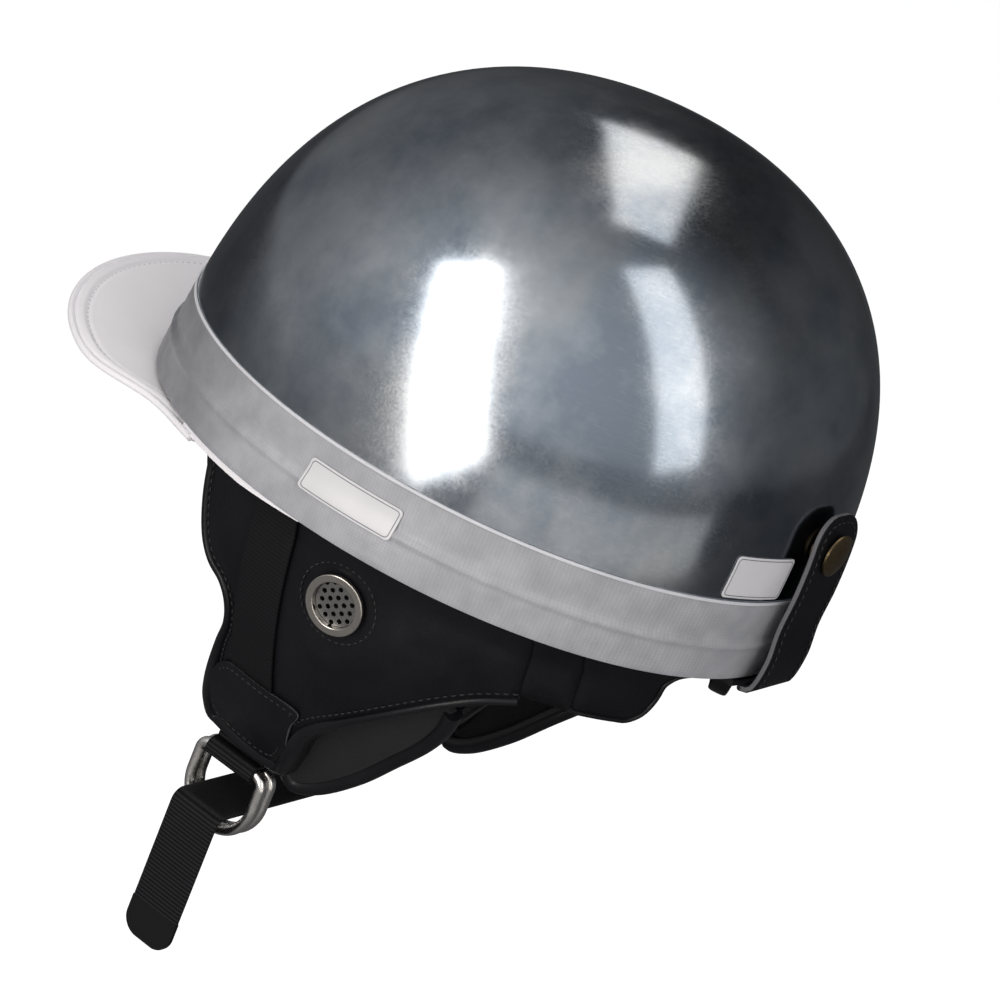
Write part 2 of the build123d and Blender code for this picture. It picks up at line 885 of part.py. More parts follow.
with BuildPart() as snap_cap:
    with BuildSketch(Plane.YZ):
        with BuildLine():
            rim_low = (cap_seat, snap_z + snap_cap_radius)
            rim_high = (cap_seat + snap_cap_wall / 3, snap_z + snap_cap_radius)
            crown = (cap_seat + snap_cap_wall, snap_z)
            post_side = (cap_seat, snap_z + snap_post_radius)
            post_end = (socket_front + 2 * fit_gap, snap_z + snap_post_radius)
            foot = (post_end[0], snap_z)
            Polyline(crown, foot, post_end, post_side, rim_low, rim_high)
            TangentArc(crown, rim_high, tangent=(0, 1))
        make_face()
    revolve(axis=Axis((0, 0, snap_z), (0, 1, 0)))
publish(snap_cap, "snap_cap")

with BuildPart() as snap_socket:
    with BuildSketch(Plane.XZ.offset(-socket_seat)):
        with Locations(axis_at):
            Circle(snap_socket_radius)
            Circle(snap_stud_radius + snap_clearance, mode=Mode.SUBTRACT)
    extrude(amount=snap_socket_wall)
publish(snap_socket, "snap_socket")

with BuildPart() as snap_stud:
    with BuildSketch(Plane.XZ.offset(-flange_seat)):
        with Locations(axis_at):
            Circle(snap_flange_radius)
    extrude(amount=-snap_flange_wall)
    with BuildSketch(Plane.XZ.offset(-flange_front)):
        with Locations(axis_at):
            Circle(snap_stud_radius)
            Circle(snap_post_radius + snap_clearance, mode=Mode.SUBTRACT)
    extrude(amount=-(socket_seat - flange_front))
    with BuildSketch(Plane.XZ.offset(-flange_seat)):
        with Locations(axis_at):
            Circle(snap_post_radius)
    extrude(amount=flange_seat - snap_y + shell_wall)
publish(snap_stud, "snap_stud")

# Blank stickers on the band and on the shell

label_low_inset = trim_out - tape_wall - 2 * fit_gap
label_high_inset = -tape_wall - 2 * fit_gap
label_step = trim_height - trim_wall + tape_wall / 2
label_back = [
    (label_low_inset, side_label_low),
    (label_low_inset, label_step),
    (label_high_inset, label_step + 2 * trim_wall),
    (label_high_inset, side_label_high),
]
label_face = [(inset - label_wall, z) for inset, z in reversed(label_back)]
side_label_shape = fitted(ring_blank(label_back + label_face))

with BuildPart() as side_label:
    add(side_label_shape)
    add(
        block((0, side_label_front, -overrun), (half_width + overrun, side_label_rear, overrun)),
        mode=Mode.INTERSECT,
    )
publish(side_label, "side_label")

rear_label_mid = (rear_label_low + rear_label_high) / 2


def rear_label_side(out):
    """Points up one face of the rear sticker, moved out from the shell by out."""
    levels = (rear_label_low, rear_label_mid, rear_label_high)
    return [(half_length - wall_radius(-out, z), z) for z in levels]


rear_label_shape = fitted(
    ring_blank(rear_label_side(2 * fit_gap) + rear_label_side(2 * fit_gap + label_wall)[::-1])
)

with BuildPart() as rear_label:
    add(rear_label_shape)
    add(
        block((rear_label_inner, 0, 0), (rear_label_outer, half_length + overrun, dome_rise)),
        mode=Mode.INTERSECT,
    )
publish(rear_label, "rear_label")
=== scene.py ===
"""Half shell motorcycle helmet: looks of every piece round the fixed CAD frame, in metres."""
import math
import bpy
import bmesh
import numpy as np
from mathutils import Matrix, Vector, noise
from mathutils.geometry import delaunay_2d_cdt

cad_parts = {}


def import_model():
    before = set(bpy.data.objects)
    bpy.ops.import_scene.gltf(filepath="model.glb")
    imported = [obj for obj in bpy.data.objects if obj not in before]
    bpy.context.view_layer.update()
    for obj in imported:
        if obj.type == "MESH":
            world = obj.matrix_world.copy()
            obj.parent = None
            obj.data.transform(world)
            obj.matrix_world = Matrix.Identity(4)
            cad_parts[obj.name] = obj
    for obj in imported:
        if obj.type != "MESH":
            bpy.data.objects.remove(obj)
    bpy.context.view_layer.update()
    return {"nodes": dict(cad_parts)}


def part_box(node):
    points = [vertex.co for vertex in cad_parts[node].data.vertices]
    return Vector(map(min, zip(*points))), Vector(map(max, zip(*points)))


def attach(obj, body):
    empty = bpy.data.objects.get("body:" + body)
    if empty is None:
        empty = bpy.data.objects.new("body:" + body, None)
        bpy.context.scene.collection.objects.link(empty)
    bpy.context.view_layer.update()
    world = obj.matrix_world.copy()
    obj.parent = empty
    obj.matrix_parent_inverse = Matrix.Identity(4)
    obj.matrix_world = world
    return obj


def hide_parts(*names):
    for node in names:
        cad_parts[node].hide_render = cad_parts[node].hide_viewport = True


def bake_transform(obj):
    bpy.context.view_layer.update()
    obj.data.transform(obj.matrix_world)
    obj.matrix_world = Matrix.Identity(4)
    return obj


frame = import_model()
nodes = frame["nodes"]
MM = 0.001

# The helmet's shape in millimetres, as in the part; the dome's width is read from the frame
LENGTH, WIDEST, CROWN, SHELL_WALL = 127.0, 18.0, 135.0, 1.6
FULLNESS, LEAN = 0.632, 0.11
shell_low, shell_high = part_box("outer_shell")
HALF_WIDTH = (shell_high.x - shell_low.x) / 2 / MM
NARROW_SHARE = HALF_WIDTH / LENGTH
FLAP_LENGTH, FLAP_DROP, FLAP_WIDTH = 119.0, 118.0, 96.0
FLAP_CURL, FLAP_TAPER, FLAP_FLARE, FLARE_SHARE = 0.4931, 0.119, 3.0, 0.1
FLAP_TOP, FLAP_REAR, FLAP_WALL = 12.4, 83.5, 8.0
UNROLL = 110.0
HALVINGS = 40

# Camera: the photograph's angle
AZIMUTH, ELEVATION, ROLL = (math.radians(angle) for angle in (119.5, 16.95, 22.39))
CAMERA_DISTANCE = 1200.0 * MM
CAMERA_TARGET = Vector((0, 0, 78.0 * MM))
PIXELS_PER_M = 2881.0
IMAGE = 1000.0
SENSOR = 36.0
TARGET_PIXEL = (557.0, 288.5)


def camera():
    """The photograph's camera: it looks at the middle of the picture, rolled to its left."""
    back = Vector((
        math.sin(AZIMUTH) * math.cos(ELEVATION),
        -math.cos(AZIMUTH) * math.cos(ELEVATION),
        math.sin(ELEVATION),
    ))
    level = Vector((math.cos(AZIMUTH), math.sin(AZIMUTH), 0))
    upright = back.cross(level)
    right = level * math.cos(ROLL) + upright * math.sin(ROLL)
    up = upright * math.cos(ROLL) - level * math.sin(ROLL)
    focal = PIXELS_PER_M * CAMERA_DISTANCE
    middle = IMAGE / 2
    aim = -back + right * ((middle - TARGET_PIXEL[0]) / focal) + up * ((TARGET_PIXEL[1] - middle) / focal)
    aim.normalize()
    side = aim.cross(up).normalized()
    true_up = side.cross(aim)
    data = bpy.data.cameras.new("camera")
    data.sensor_width = SENSOR
    data.lens = focal / IMAGE * SENSOR
    data.clip_end = 20.0
    cam = bpy.data.objects.new("camera", data)
    bpy.context.scene.collection.objects.link(cam)
    turn = Matrix((side, true_up, -aim)).transposed()
    cam.matrix_world = Matrix.Translation(CAMERA_TARGET + back * CAMERA_DISTANCE) @ turn.to_4x4()
    bpy.context.scene.camera = cam


# Materials


class Nodes:
    """A node tree with short calls for what the materials and the world need."""

    def __init__(self, tree):
        self.tree = tree

    def plug(self, value, socket):
        if isinstance(value, bpy.types.NodeSocket):
            self.tree.links.new(value, socket)
        else:
            socket.default_value = value

    def node(self, kind, **inputs):
        """Adds a node; inputs are values or output sockets, by the socket's name with _ for a space."""
        made = self.tree.nodes.new(kind)
        for key, value in inputs.items():
            self.plug(value, made.inputs[key.replace("_", " ")])
        return made

    def ramp(self, value, *stops):
        """Values by steps: (place, level) pairs."""
        made = self.node("ShaderNodeValToRGB", Fac=value)
        elements = made.color_ramp.elements
        for element, (place, level) in zip(elements, stops):
            element.position = place
            colour = level if isinstance(level, tuple) else (level,) * 3
            element.color = (*colour, 1)
        return made.outputs["Color"]

    def math(self, operation, a, b=0.0):
        made = self.tree.nodes.new("ShaderNodeMath")
        made.operation = operation
        self.plug(a, made.inputs[0])
        self.plug(b, made.inputs[1])
        return made.outputs[0]

    def add(self, a, b):
        return self.math("ADD", a, b)

    def times(self, a, b):
        return self.math("MULTIPLY", a, b)

    def mix(self, factor, a, b):
        made = self.tree.nodes.new("ShaderNodeMix")
        made.data_type = "RGBA"
        self.plug(factor, made.inputs["Factor"])
        for value, socket in ((a, made.inputs[6]), (b, made.inputs[7])):
            self.plug((*value, 1) if isinstance(value, tuple) else value, socket)
        return made.outputs[2]


class Shader(Nodes):
    """A material with the principled shader."""

    def __init__(self, name, colour, roughness, metallic=0.0, specular=0.5):
        self.material = bpy.data.materials.new(name)
        self.material.use_nodes = True
        super().__init__(self.material.node_tree)
        self.bsdf = self.tree.nodes["Principled BSDF"]
        self.set("Base Color", (*colour, 1))
        self.set("Roughness", roughness)
        self.set("Metallic", metallic)
        self.set("Specular IOR Level", specular)
        self.height = None

    def set(self, socket, value):
        self.plug(value, self.bsdf.inputs[socket])

    def colour(self, value):
        self.set("Base Color", value)

    def rough(self, value):
        self.set("Roughness", value)

    def place(self, scale=(1, 1, 1), turn=(0, 0, 0)):
        """Object coordinates in millimetres, turned and stretched."""
        coordinate = self.node("ShaderNodeTexCoord").outputs["Object"]
        mapping = self.node("ShaderNodeMapping", Vector=coordinate)
        mapping.inputs["Scale"].default_value = [s / MM for s in scale]
        mapping.inputs["Rotation"].default_value = [math.radians(t) for t in turn]
        return mapping.outputs["Vector"]

    def noise(self, size, detail=3.0, rough=0.5, scale=(1, 1, 1), turn=(0, 0, 0)):
        """Noise with features about size millimetres across."""
        vector = self.place(scale, turn)
        made = self.node("ShaderNodeTexNoise", Vector=vector, Scale=1 / size, Detail=detail, Roughness=rough)
        return made.outputs["Fac"]

    def wave(self, value, period):
        """A sine over value, in millimetres."""
        return self.math("SINE", self.times(value, 2 * math.pi / period))

    def bump(self, value, distance_mm, strength=1.0):
        """Raises the surface by value, up to distance_mm."""
        made = self.node("ShaderNodeBump", Height=value, Strength=strength, Distance=distance_mm * MM)
        if self.height is not None:
            self.tree.links.new(self.height, made.inputs["Normal"])
        self.height = made.outputs["Normal"]
        self.set("Normal", self.height)


def toned(colour, share):
    """A colour made lighter or darker."""
    return tuple(c * share for c in colour)


def steel_shell():
    """Bare steel: clouds, warm patches, streaks of polish, fine grain and a few dark marks."""
    s = Shader("steel_shell", (0.36, 0.39, 0.45), 0.2, metallic=1.0)
    cloud = s.ramp(s.noise(48, detail=5, rough=0.6), (0.38, 0.0), (0.62, 1.0))
    tone = s.mix(cloud, (0.255, 0.295, 0.35), (0.47, 0.50, 0.54))
    warm = s.ramp(s.noise(30, detail=4, scale=(1, 1, 0.5), turn=(0, 30, 40)), (0.5, 0.0), (0.75, 0.55))
    tone = s.mix(warm, tone, (0.40, 0.405, 0.40))
    streak = s.noise(5, detail=5, rough=0.7, scale=(1, 1, 16), turn=(62, 20, 0))
    s.colour(s.mix(s.ramp(streak, (0.56, 0.0), (0.72, 0.35)), tone, (0.50, 0.51, 0.53)))
    fine = s.ramp(s.noise(0.9, detail=3, rough=0.7), (0.3, 0.0), (0.8, 1.0))
    scratch = s.noise(5, detail=5, rough=0.65, scale=(1, 1, 14), turn=(25, 12, 0))
    level = s.add(s.times(fine, 0.12), s.times(scratch, 0.12))
    s.rough(s.add(level, s.add(s.times(cloud, 0.05), 0.04)))
    s.bump(s.noise(14, detail=3), 0.035, 0.3)
    s.bump(s.noise(90, detail=1), 0.25, 0.35)
    s.bump(s.ramp(s.noise(3.2, detail=6, rough=0.8), (0.70, 0.0), (0.78, 1.0)), 0.02, 0.5)
    return s.material


def cloth_tape():
    """Woven tape: threads round the band and across it, with painted shade darkening it towards the front."""
    s = Shader("cloth_tape", (0.40, 0.41, 0.45), 0.46, specular=0.7)
    split = s.node("ShaderNodeSeparateXYZ", Vector=s.place())
    x, y, z = (split.outputs[axis] for axis in "XYZ")
    warp = s.wave(s.times(s.math("ARCTAN2", y, x), LENGTH), 1.5)
    weave = s.add(s.add(s.times(warp, 0.4), s.times(s.wave(z, 1.1), 0.22)), 0.5)
    cloud = s.ramp(s.noise(11, detail=5, rough=0.6), (0.32, 0.0), (0.7, 1.0))
    tone = s.mix(cloud, (0.355, 0.365, 0.40), (0.455, 0.465, 0.505))
    tone = s.mix(s.times(weave, 0.16), tone, (0.2, 0.2, 0.22))
    # Painted shade: the front of the band is darkened as if turned away from the lights, broken up by noise.
    painted_front_shade = s.add(s.times(y, -1 / LENGTH), s.times(s.noise(16, detail=4), 0.3))
    s.colour(s.mix(s.ramp(painted_front_shade, (0.4, 0.0), (0.95, 0.9)), tone, (0.14, 0.145, 0.165)))
    s.rough(s.add(s.times(s.noise(8, detail=4), 0.3), 0.27))
    s.bump(weave, 0.07, 0.6)
    s.bump(s.noise(26, detail=3, scale=(1, 1, 0.45)), 1.4, 0.55)
    s.bump(s.noise(7, detail=3, scale=(1, 1, 0.5)), 0.5, 0.55)
    return s.material


def knit(name, colour):
    """Brushed lining cloth."""
    s = Shader(name, colour, 0.85, specular=0.15)
    s.set("Sheen Weight", 0.1)
    s.colour(s.mix(s.noise(9, detail=4), colour, toned(colour, 1.5)))
    s.bump(s.noise(0.9, detail=3), 0.12, 0.6)
    return s.material


def leather(name, colour, rough, grain, depth, specular=0.5, vary=1.3):
    """Fine cells over soft waves, with a little change of tone and gloss."""
    s = Shader(name, colour, rough, specular=specular)
    cells = s.node("ShaderNodeTexVoronoi", Vector=s.place(), Scale=1 / grain)
    cells.feature = "DISTANCE_TO_EDGE"
    s.bump(s.ramp(cells.outputs["Distance"], (0.0, 0.0), (0.25, 1.0)), depth, 0.5)
    s.bump(s.noise(18, detail=3), 0.8, 0.35)
    pale = tuple(min(1, c + 0.001) for c in toned(colour, vary))
    s.colour(s.mix(s.ramp(s.noise(25, detail=4), (0.35, 0.0), (0.7, 1.0)), colour, pale))
    s.rough(s.add(s.times(s.noise(12, detail=4), 0.22), rough - 0.1))
    return s.material


def twill(name, colour, contrast=1.0):
    """Webbing: fine ribs across the band with slanting threads; the ribs are painted lighter and the hollows darker, a
    painted highlight and shade.
    """
    s = Shader(name, colour, 0.7, specular=0.12)
    split = s.node("ShaderNodeSeparateXYZ", Vector=s.place())
    length, width = split.outputs["Z"], split.outputs["Y"]
    weave = s.add(s.times(s.wave(length, 1.5), 0.7), s.times(s.wave(s.add(length, width), 0.9), 0.3))
    level = s.ramp(s.add(s.times(weave, 0.5), 0.5), (0.2, 0.0), (0.8, 1.0))
    # Painted highlight and shade: raised ribs lighter, hollows darker, following the bump
    s.colour(s.mix(level, toned(colour, 1 - 0.7 * contrast), toned(colour, 1 + contrast)))
    s.bump(level, 0.16 * contrast, 0.9)
    return s.material


def metal(name, colour, rough, worn=0.15, size=3):
    """Plated metal with duller, worn patches."""
    s = Shader(name, colour, rough, metallic=1.0)
    patch = s.ramp(s.noise(size, detail=5, rough=0.65), (0.35, 0.0), (0.7, 1.0))
    s.colour(s.mix(patch, colour, toned(colour, 1 - worn)))
    s.rough(s.add(s.times(patch, 0.14), rough))
    s.bump(s.noise(0.8, detail=3), 0.01, 0.4)
    return s.material


def sticker():
    """Plain coated paper."""
    s = Shader("blank_sticker", (0.86, 0.86, 0.9), 0.35)
    s.colour(s.mix(s.noise(14, detail=3), (0.66, 0.66, 0.70), (0.74, 0.74, 0.77)))
    s.rough(s.add(s.times(s.noise(5), 0.15), 0.28))
    s.bump(s.noise(9, detail=2), 0.12, 0.3)
    return s.material


def plain(name, colour, rough, size=2.0, depth=0.05, specular=0.4):
    """Rubber, thread and other dull surfaces."""
    s = Shader(name, colour, rough, specular=specular)
    s.colour(s.mix(s.noise(size * 6, detail=4), colour, toned(colour, 1.25)))
    s.rough(s.add(s.times(s.noise(size), 0.12), rough - 0.05))
    s.bump(s.noise(size, detail=4), depth, 0.5)
    return s.material


def foam():
    """Moulded beads."""
    s = Shader("bead_foam", (0.03, 0.03, 0.033), 0.8, specular=0.25)
    cells = s.node("ShaderNodeTexVoronoi", Vector=s.place(), Scale=1 / 3.2)
    s.bump(cells.outputs["Distance"], 0.25, 0.8)
    s.colour(s.mix(cells.outputs["Distance"], (0.025, 0.025, 0.028), (0.055, 0.055, 0.06)))
    return s.material


# Surfaces of the part, in millimetres


def clamped(value):
    """The value held between 0 and 1."""
    return min(1.0, max(0.0, value))


def eased(value):
    """The value held between 0 and 1, with soft ends."""
    share = clamped(value)
    return share * share * (3 - 2 * share)


def dome_at(inset, t):
    """(radius, height) of the round dome at share t of the way from its widest level to the crown."""
    return (
        (LENGTH - inset) * ((1 - t) ** 3 + 3 * t * (1 - t) ** 2 + 3 * FULLNESS * t**2 * (1 - t)),
        WIDEST + (CROWN - inset) * (3 * FULLNESS * t * (1 - t) ** 2 + 3 * t**2 * (1 - t) + t**3),
    )


def dome_radius(inset, z):
    """Radius of the round dome at height z, moved in by inset."""
    if z <= WIDEST:
        return LENGTH - inset
    low, high = 0.0, 1.0
    for _ in range(HALVINGS):
        t = (low + high) / 2
        low, high = (t, high) if dome_at(inset, t)[1] < z else (low, t)
    return dome_at(inset, t)[0]


def dome_curve(inset, steps):
    """Points of the dome from its widest level to the crown."""
    return [dome_at(inset, step / steps) for step in range(steps + 1)]


def fitted(radius, angle, z):
    """A point of a round body, narrowed and leaned back like the helmet."""
    return (radius * math.cos(angle) * NARROW_SHARE, radius * math.sin(angle) + LEAN * z, z)


def wall_reach(z):
    """How far the soft panels' wall reaches across and along at height z."""
    level = -z / FLAP_DROP
    flare = FLAP_FLARE * clamped(1 - level / FLARE_SHARE)
    return FLAP_WIDTH * (1 - FLAP_CURL * level**2) + flare, FLAP_LENGTH * (1 - FLAP_TAPER * level) + flare


def wall_point(u, z, depth, side=1):
    """A point of the soft panels' wall: u runs round it, depth goes in from its outer face."""
    across, along = wall_reach(z)
    phi = u / UNROLL
    return (side * (across - depth) * math.cos(phi), (along - depth) * math.sin(phi), z)


def wall_u(y, z):
    """Where y lies round the wall at height z."""
    return UNROLL * math.asin(max(-1.0, min(1.0, y / wall_reach(z)[1])))


# Meshes


def mesh_object(name, points, faces, materials, kinds=None, sharp=40):
    """An object from points in millimetres; kinds are the faces' material numbers."""
    mesh = bpy.data.meshes.new(name)
    mesh.from_pydata([[c * MM for c in p] for p in points], [], faces)
    for material in materials:
        mesh.materials.append(material)
    if kinds:
        mesh.polygons.foreach_set("material_index", kinds)
    shape = bmesh.new()
    shape.from_mesh(mesh)
    bmesh.ops.recalc_face_normals(shape, faces=shape.faces)
    shape.to_mesh(mesh)
    shape.free()
    mesh.shade_smooth()
    mesh.set_sharp_from_angle(angle=math.radians(sharp))
    obj = bpy.data.objects.new(name, mesh)
    bpy.context.scene.collection.objects.link(obj)
    return obj


def dress(obj, body, slot, *replaced, fill=None):
    """Puts a piece on its body and hides the CAD nodes that it stands for; slot, its finish, is not used."""
    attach(obj, body)
    if replaced:
        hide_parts(*replaced)
    return obj


def lathe(name, profile, materials, segments=192, kinds=None, span=None, ripple=None):
    """Turns closed (radius, height) points about the helmet's middle; zero radius is the crown."""
    start, end = span or (0.0, 2 * math.pi)
    columns = segments if span is None else segments + 1
    points, rings = [], []
    for radius, z in profile:
        if radius < 1e-6:
            rings.append([len(points)] * columns)
            points.append(fitted(0, 0, z))
            continue
        ring = []
        for column in range(columns):
            angle = start + (end - start) * column / segments
            grow = ripple(angle, z) if ripple else 0.0
            ring.append(len(points))
            points.append(fitted(radius + grow, angle, z))
        rings.append(ring)
    faces, numbers = [], []
    count = len(rings)
    for i in range(count):
        a, b = rings[i], rings[(i + 1) % count]
        if a[0] == a[-1] and b[0] == b[-1]:
            continue
        for column in range(segments):
            after = (column + 1) % columns
            corners = [a[column], a[after], b[after], b[column]]
            face = list(dict.fromkeys(corners))
            if len(face) > 2:
                faces.append(face)
                numbers.append(kinds[i] if kinds else 0)
    if span is not None:
        for column in (0, segments):
            faces.append([ring[column] for ring in rings])
            numbers.append(0)
    return mesh_object(name, points, faces, materials, numbers)


def catmull(points, pitch, closed=False):
    """A smooth curve through points, sampled about every pitch millimetres."""
    count = len(points)
    out = []
    spans = count if closed else count - 1
    for i in range(spans):
        if closed:
            p0, p1, p2, p3 = (Vector(points[(i + k - 1) % count]) for k in range(4))
        else:
            p1, p2 = Vector(points[i]), Vector(points[i + 1])
            p0 = Vector(points[i - 1]) if i else p1 * 2 - p2
            p3 = Vector(points[i + 2]) if i + 2 < count else p2 * 2 - p1
        t1 = max((p1 - p0).length, 1e-6) ** 0.5
        t2 = max((p2 - p1).length, 1e-6) ** 0.5
        t3 = max((p3 - p2).length, 1e-6) ** 0.5
        m1 = ((p1 - p0) / t1 - (p2 - p0) / (t1 + t2) + (p2 - p1) / t2) * t2
        m2 = ((p2 - p1) / t2 - (p3 - p1) / (t2 + t3) + (p3 - p2) / t3) * t2
        steps = max(1, round((p2 - p1).length / pitch))
        for step in range(steps):
            t = step / steps
            out.append(
                p1 * (2 * t**3 - 3 * t**2 + 1) + m1 * (t**3 - 2 * t**2 + t)
                + p2 * (3 * t**2 - 2 * t**3) + m2 * (t**3 - t**2)
            )
    if not closed:
        out.append(Vector(points[-1]))
    return out


def even(points, pitch):
    """The same polyline with points every pitch millimetres."""
    out, carry = [Vector(points[0])], 0.0
    for a, b in zip(points, points[1:]):
        a, b = Vector(a), Vector(b)
        length = (b - a).length
        place = pitch - carry
        while place <= length:
            out.append(a.lerp(b, place / length))
            place += pitch
        carry = (carry + length) % pitch
    return out


def inside(point, loop):
    """Whether a flat point lies in a closed loop."""
    x, y = point
    found = False
    for (ax, ay), (bx, by) in zip(loop, loop[1:] + loop[:1]):
        if (ay > y) != (by > y) and x < (bx - ax) * (y - ay) / (by - ay) + ax:
            found = not found
    return found


def edge_distance(points, loops):
    """Distance of flat points from the nearest loop."""
    flat = np.array(points, float)
    best = np.full(len(flat), 1e9)
    for loop in loops:
        a = np.array(loop, float)
        b = np.roll(a, -1, axis=0)
        side = b - a
        t = ((flat[:, None] - a) * side).sum(-1) / np.maximum((side**2).sum(-1), 1e-12)
        near = a + side * np.clip(t, 0, 1)[..., None]
        best = np.minimum(best, np.linalg.norm(flat[:, None] - near, axis=-1).min(1))
    return best


def drawn_in(loop, distance):
    """Points of a loop moved to its inside by distance."""
    area = sum(a[0] * b[1] - b[0] * a[1] for a, b in zip(loop, loop[1:] + loop[:1]))
    turn = 1 if area > 0 else -1
    out = []
    for i, point in enumerate(loop):
        before, after = loop[i - 1], loop[(i + 1) % len(loop)]
        along = Vector((after[0] - before[0], after[1] - before[1]))
        if along.length > 1e-6:
            along.normalize()
            out.append((point[0] - along.y * distance * turn, point[1] + along.x * distance * turn))
    return out


def panel(name, outline, place, wall, materials, edge_drop=1.0, round_over=2.5, grid=3.0, shape=None, holes=()):
    """A soft sheet or pad: an outline filled with triangles, with rounded edges.

    place(u, v, depth) gives the point; shape(u, v, distance) swells the outer face."""
    outline = [tuple(p[:2]) for p in outline]
    loops = [outline] + [list(hole) for hole in holes]
    flat = [p for loop in loops for p in loop]
    edges, first = [], 0
    for loop in loops:
        edges += [(first + i, first + (i + 1) % len(loop)) for i in range(len(loop))]
        first += len(loop)
    extra = []
    for part in (0.12, 0.4, 0.9):
        for point in drawn_in(outline, round_over * part):
            extra.append((point, round_over * part * 0.8))
    us, vs = [p[0] for p in outline], [p[1] for p in outline]
    row, v = 0, min(vs)
    while v < max(vs):
        u = min(us) + (grid / 2 if row % 2 else 0)
        while u < max(us):
            extra.append(((u, v), max(round_over * 1.3, grid * 0.5)))
            u += grid
        v += grid * 0.866
        row += 1
    far = edge_distance([p for p, _ in extra], loops)
    for (point, least), distance in zip(extra, far):
        if distance >= least and inside(point, outline) and not any(inside(point, h) for h in holes):
            flat.append(point)
    made = delaunay_2d_cdt([Vector(p) for p in flat], edges, [], 0, 1e-4)
    verts = [tuple(p) for p in made[0]]
    triangles = []
    for face in made[2]:
        centre = (sum(verts[i][0] for i in face) / 3, sum(verts[i][1] for i in face) / 3)
        if inside(centre, outline) and not any(inside(centre, h) for h in holes):
            triangles.append(list(face))
    near = edge_distance(verts, loops[:1])
    outer, inner = [], []
    for (u, v), distance in zip(verts, near):
        n = min(distance / round_over, 1.0)
        drop = edge_drop * (1 - math.sqrt(1 - (1 - n) ** 2))
        swell = shape(u, v, distance) if shape else 0.0
        outer.append(place(u, v, drop - swell))
        inner.append(place(u, v, wall - drop))
    count = len(verts)
    used = {}
    for face in triangles:
        for i in range(3):
            key = tuple(sorted((face[i], face[(i + 1) % 3])))
            used.setdefault(key, []).append((face[i], face[(i + 1) % 3]))
    faces = [list(f) for f in triangles] + [[i + count for i in reversed(f)] for f in triangles]
    kinds = [0] * len(triangles) + [min(1, len(materials) - 1)] * len(triangles)
    for pairs in used.values():
        if len(pairs) == 1:
            a, b = pairs[0]
            faces.append([b, a, a + count, b + count])
            kinds.append(min(2, len(materials) - 1))
    return mesh_object(name, outer + inner, faces, materials, kinds, sharp=60)


def sweep(name, path, outs, section, materials, closed=False, sizes=None):
    """A section of (side, out) points moved along a path; outs are the outward directions."""
    points, rings = [], []
    count = len(path)
    for i, (point, out) in enumerate(zip(path, outs)):
        before = path[i - 1] if i or closed else path[i]
        after = path[(i + 1) % count] if i + 1 < count or closed else path[i]
        along = (Vector(after) - Vector(before)).normalized()
        out = Vector(out) - along * Vector(out).dot(along)
        out.normalize()
        side = along.cross(out)
        grow = sizes[i] if sizes else (1, 1)
        rings.append(range(len(points), len(points) + len(section)))
        for across, up in section:
            points.append(Vector(point) + side * across * grow[0] + out * up * grow[1])
    faces = []
    spans = count if closed else count - 1
    for i in range(spans):
        a, b = rings[i], rings[(i + 1) % count]
        for k in range(len(section)):
            j = (k + 1) % len(section)
            faces.append([a[k], a[j], b[j], b[k]])
    if not closed:
        faces += [list(rings[0]), list(reversed(rings[-1]))]
    return mesh_object(name, points, faces, materials)


def rounded_section(width, height, power=4.0, steps=20):
    """A rounded rectangle of (side, out) points about its middle."""
    points = []
    for step in range(steps):
        angle = 2 * math.pi * step / steps
        c, s = math.cos(angle), math.sin(angle)
        points.append((
            width / 2 * math.copysign(abs(c) ** (2 / power), c),
            height / 2 * math.copysign(abs(s) ** (2 / power), s),
        ))
    return points


def stitches(name, path, outs, material, length=2.1, radius=0.32, pitch=3.0, lift=0.1):
    """Thread along a line: short rounded stitches that lie on the surface."""
    places, travelled, due = [], 0.0, 0.0
    for i in range(len(path) - 1):
        a, b = Vector(path[i]), Vector(path[i + 1])
        span = (b - a).length
        while due <= travelled + span and span > 0:
            t = (due - travelled) / span
            places.append((a.lerp(b, t), (b - a).normalized(), Vector(outs[i])))
            due += pitch
        travelled += span
    points, faces = [], []
    around, rows = 6, 5
    for centre, along, out in places:
        side = along.cross(out).normalized()
        base = len(points)
        for row in range(rows):
            x = -1 + 2 * row / (rows - 1)
            size = radius * math.sqrt(max(0.02, 1 - x * x * 0.98))
            for k in range(around):
                angle = 2 * math.pi * k / around
                offset = side * math.cos(angle) * size + out * (math.sin(angle) * size + lift - 0.25 * x * x)
                points.append(centre + along * x * length / 2 + offset)
        for row in range(rows - 1):
            for k in range(around):
                j = (k + 1) % around
                a = base + row * around
                faces.append([a + k, a + j, a + around + j, a + around + k])
        faces.append([base + k for k in range(around)])
        faces.append([base + (rows - 1) * around + k for k in reversed(range(around))])
    return mesh_object(name, points, faces, [material])


# Finishes

STEEL = steel_shell()
TAPE = cloth_tape()
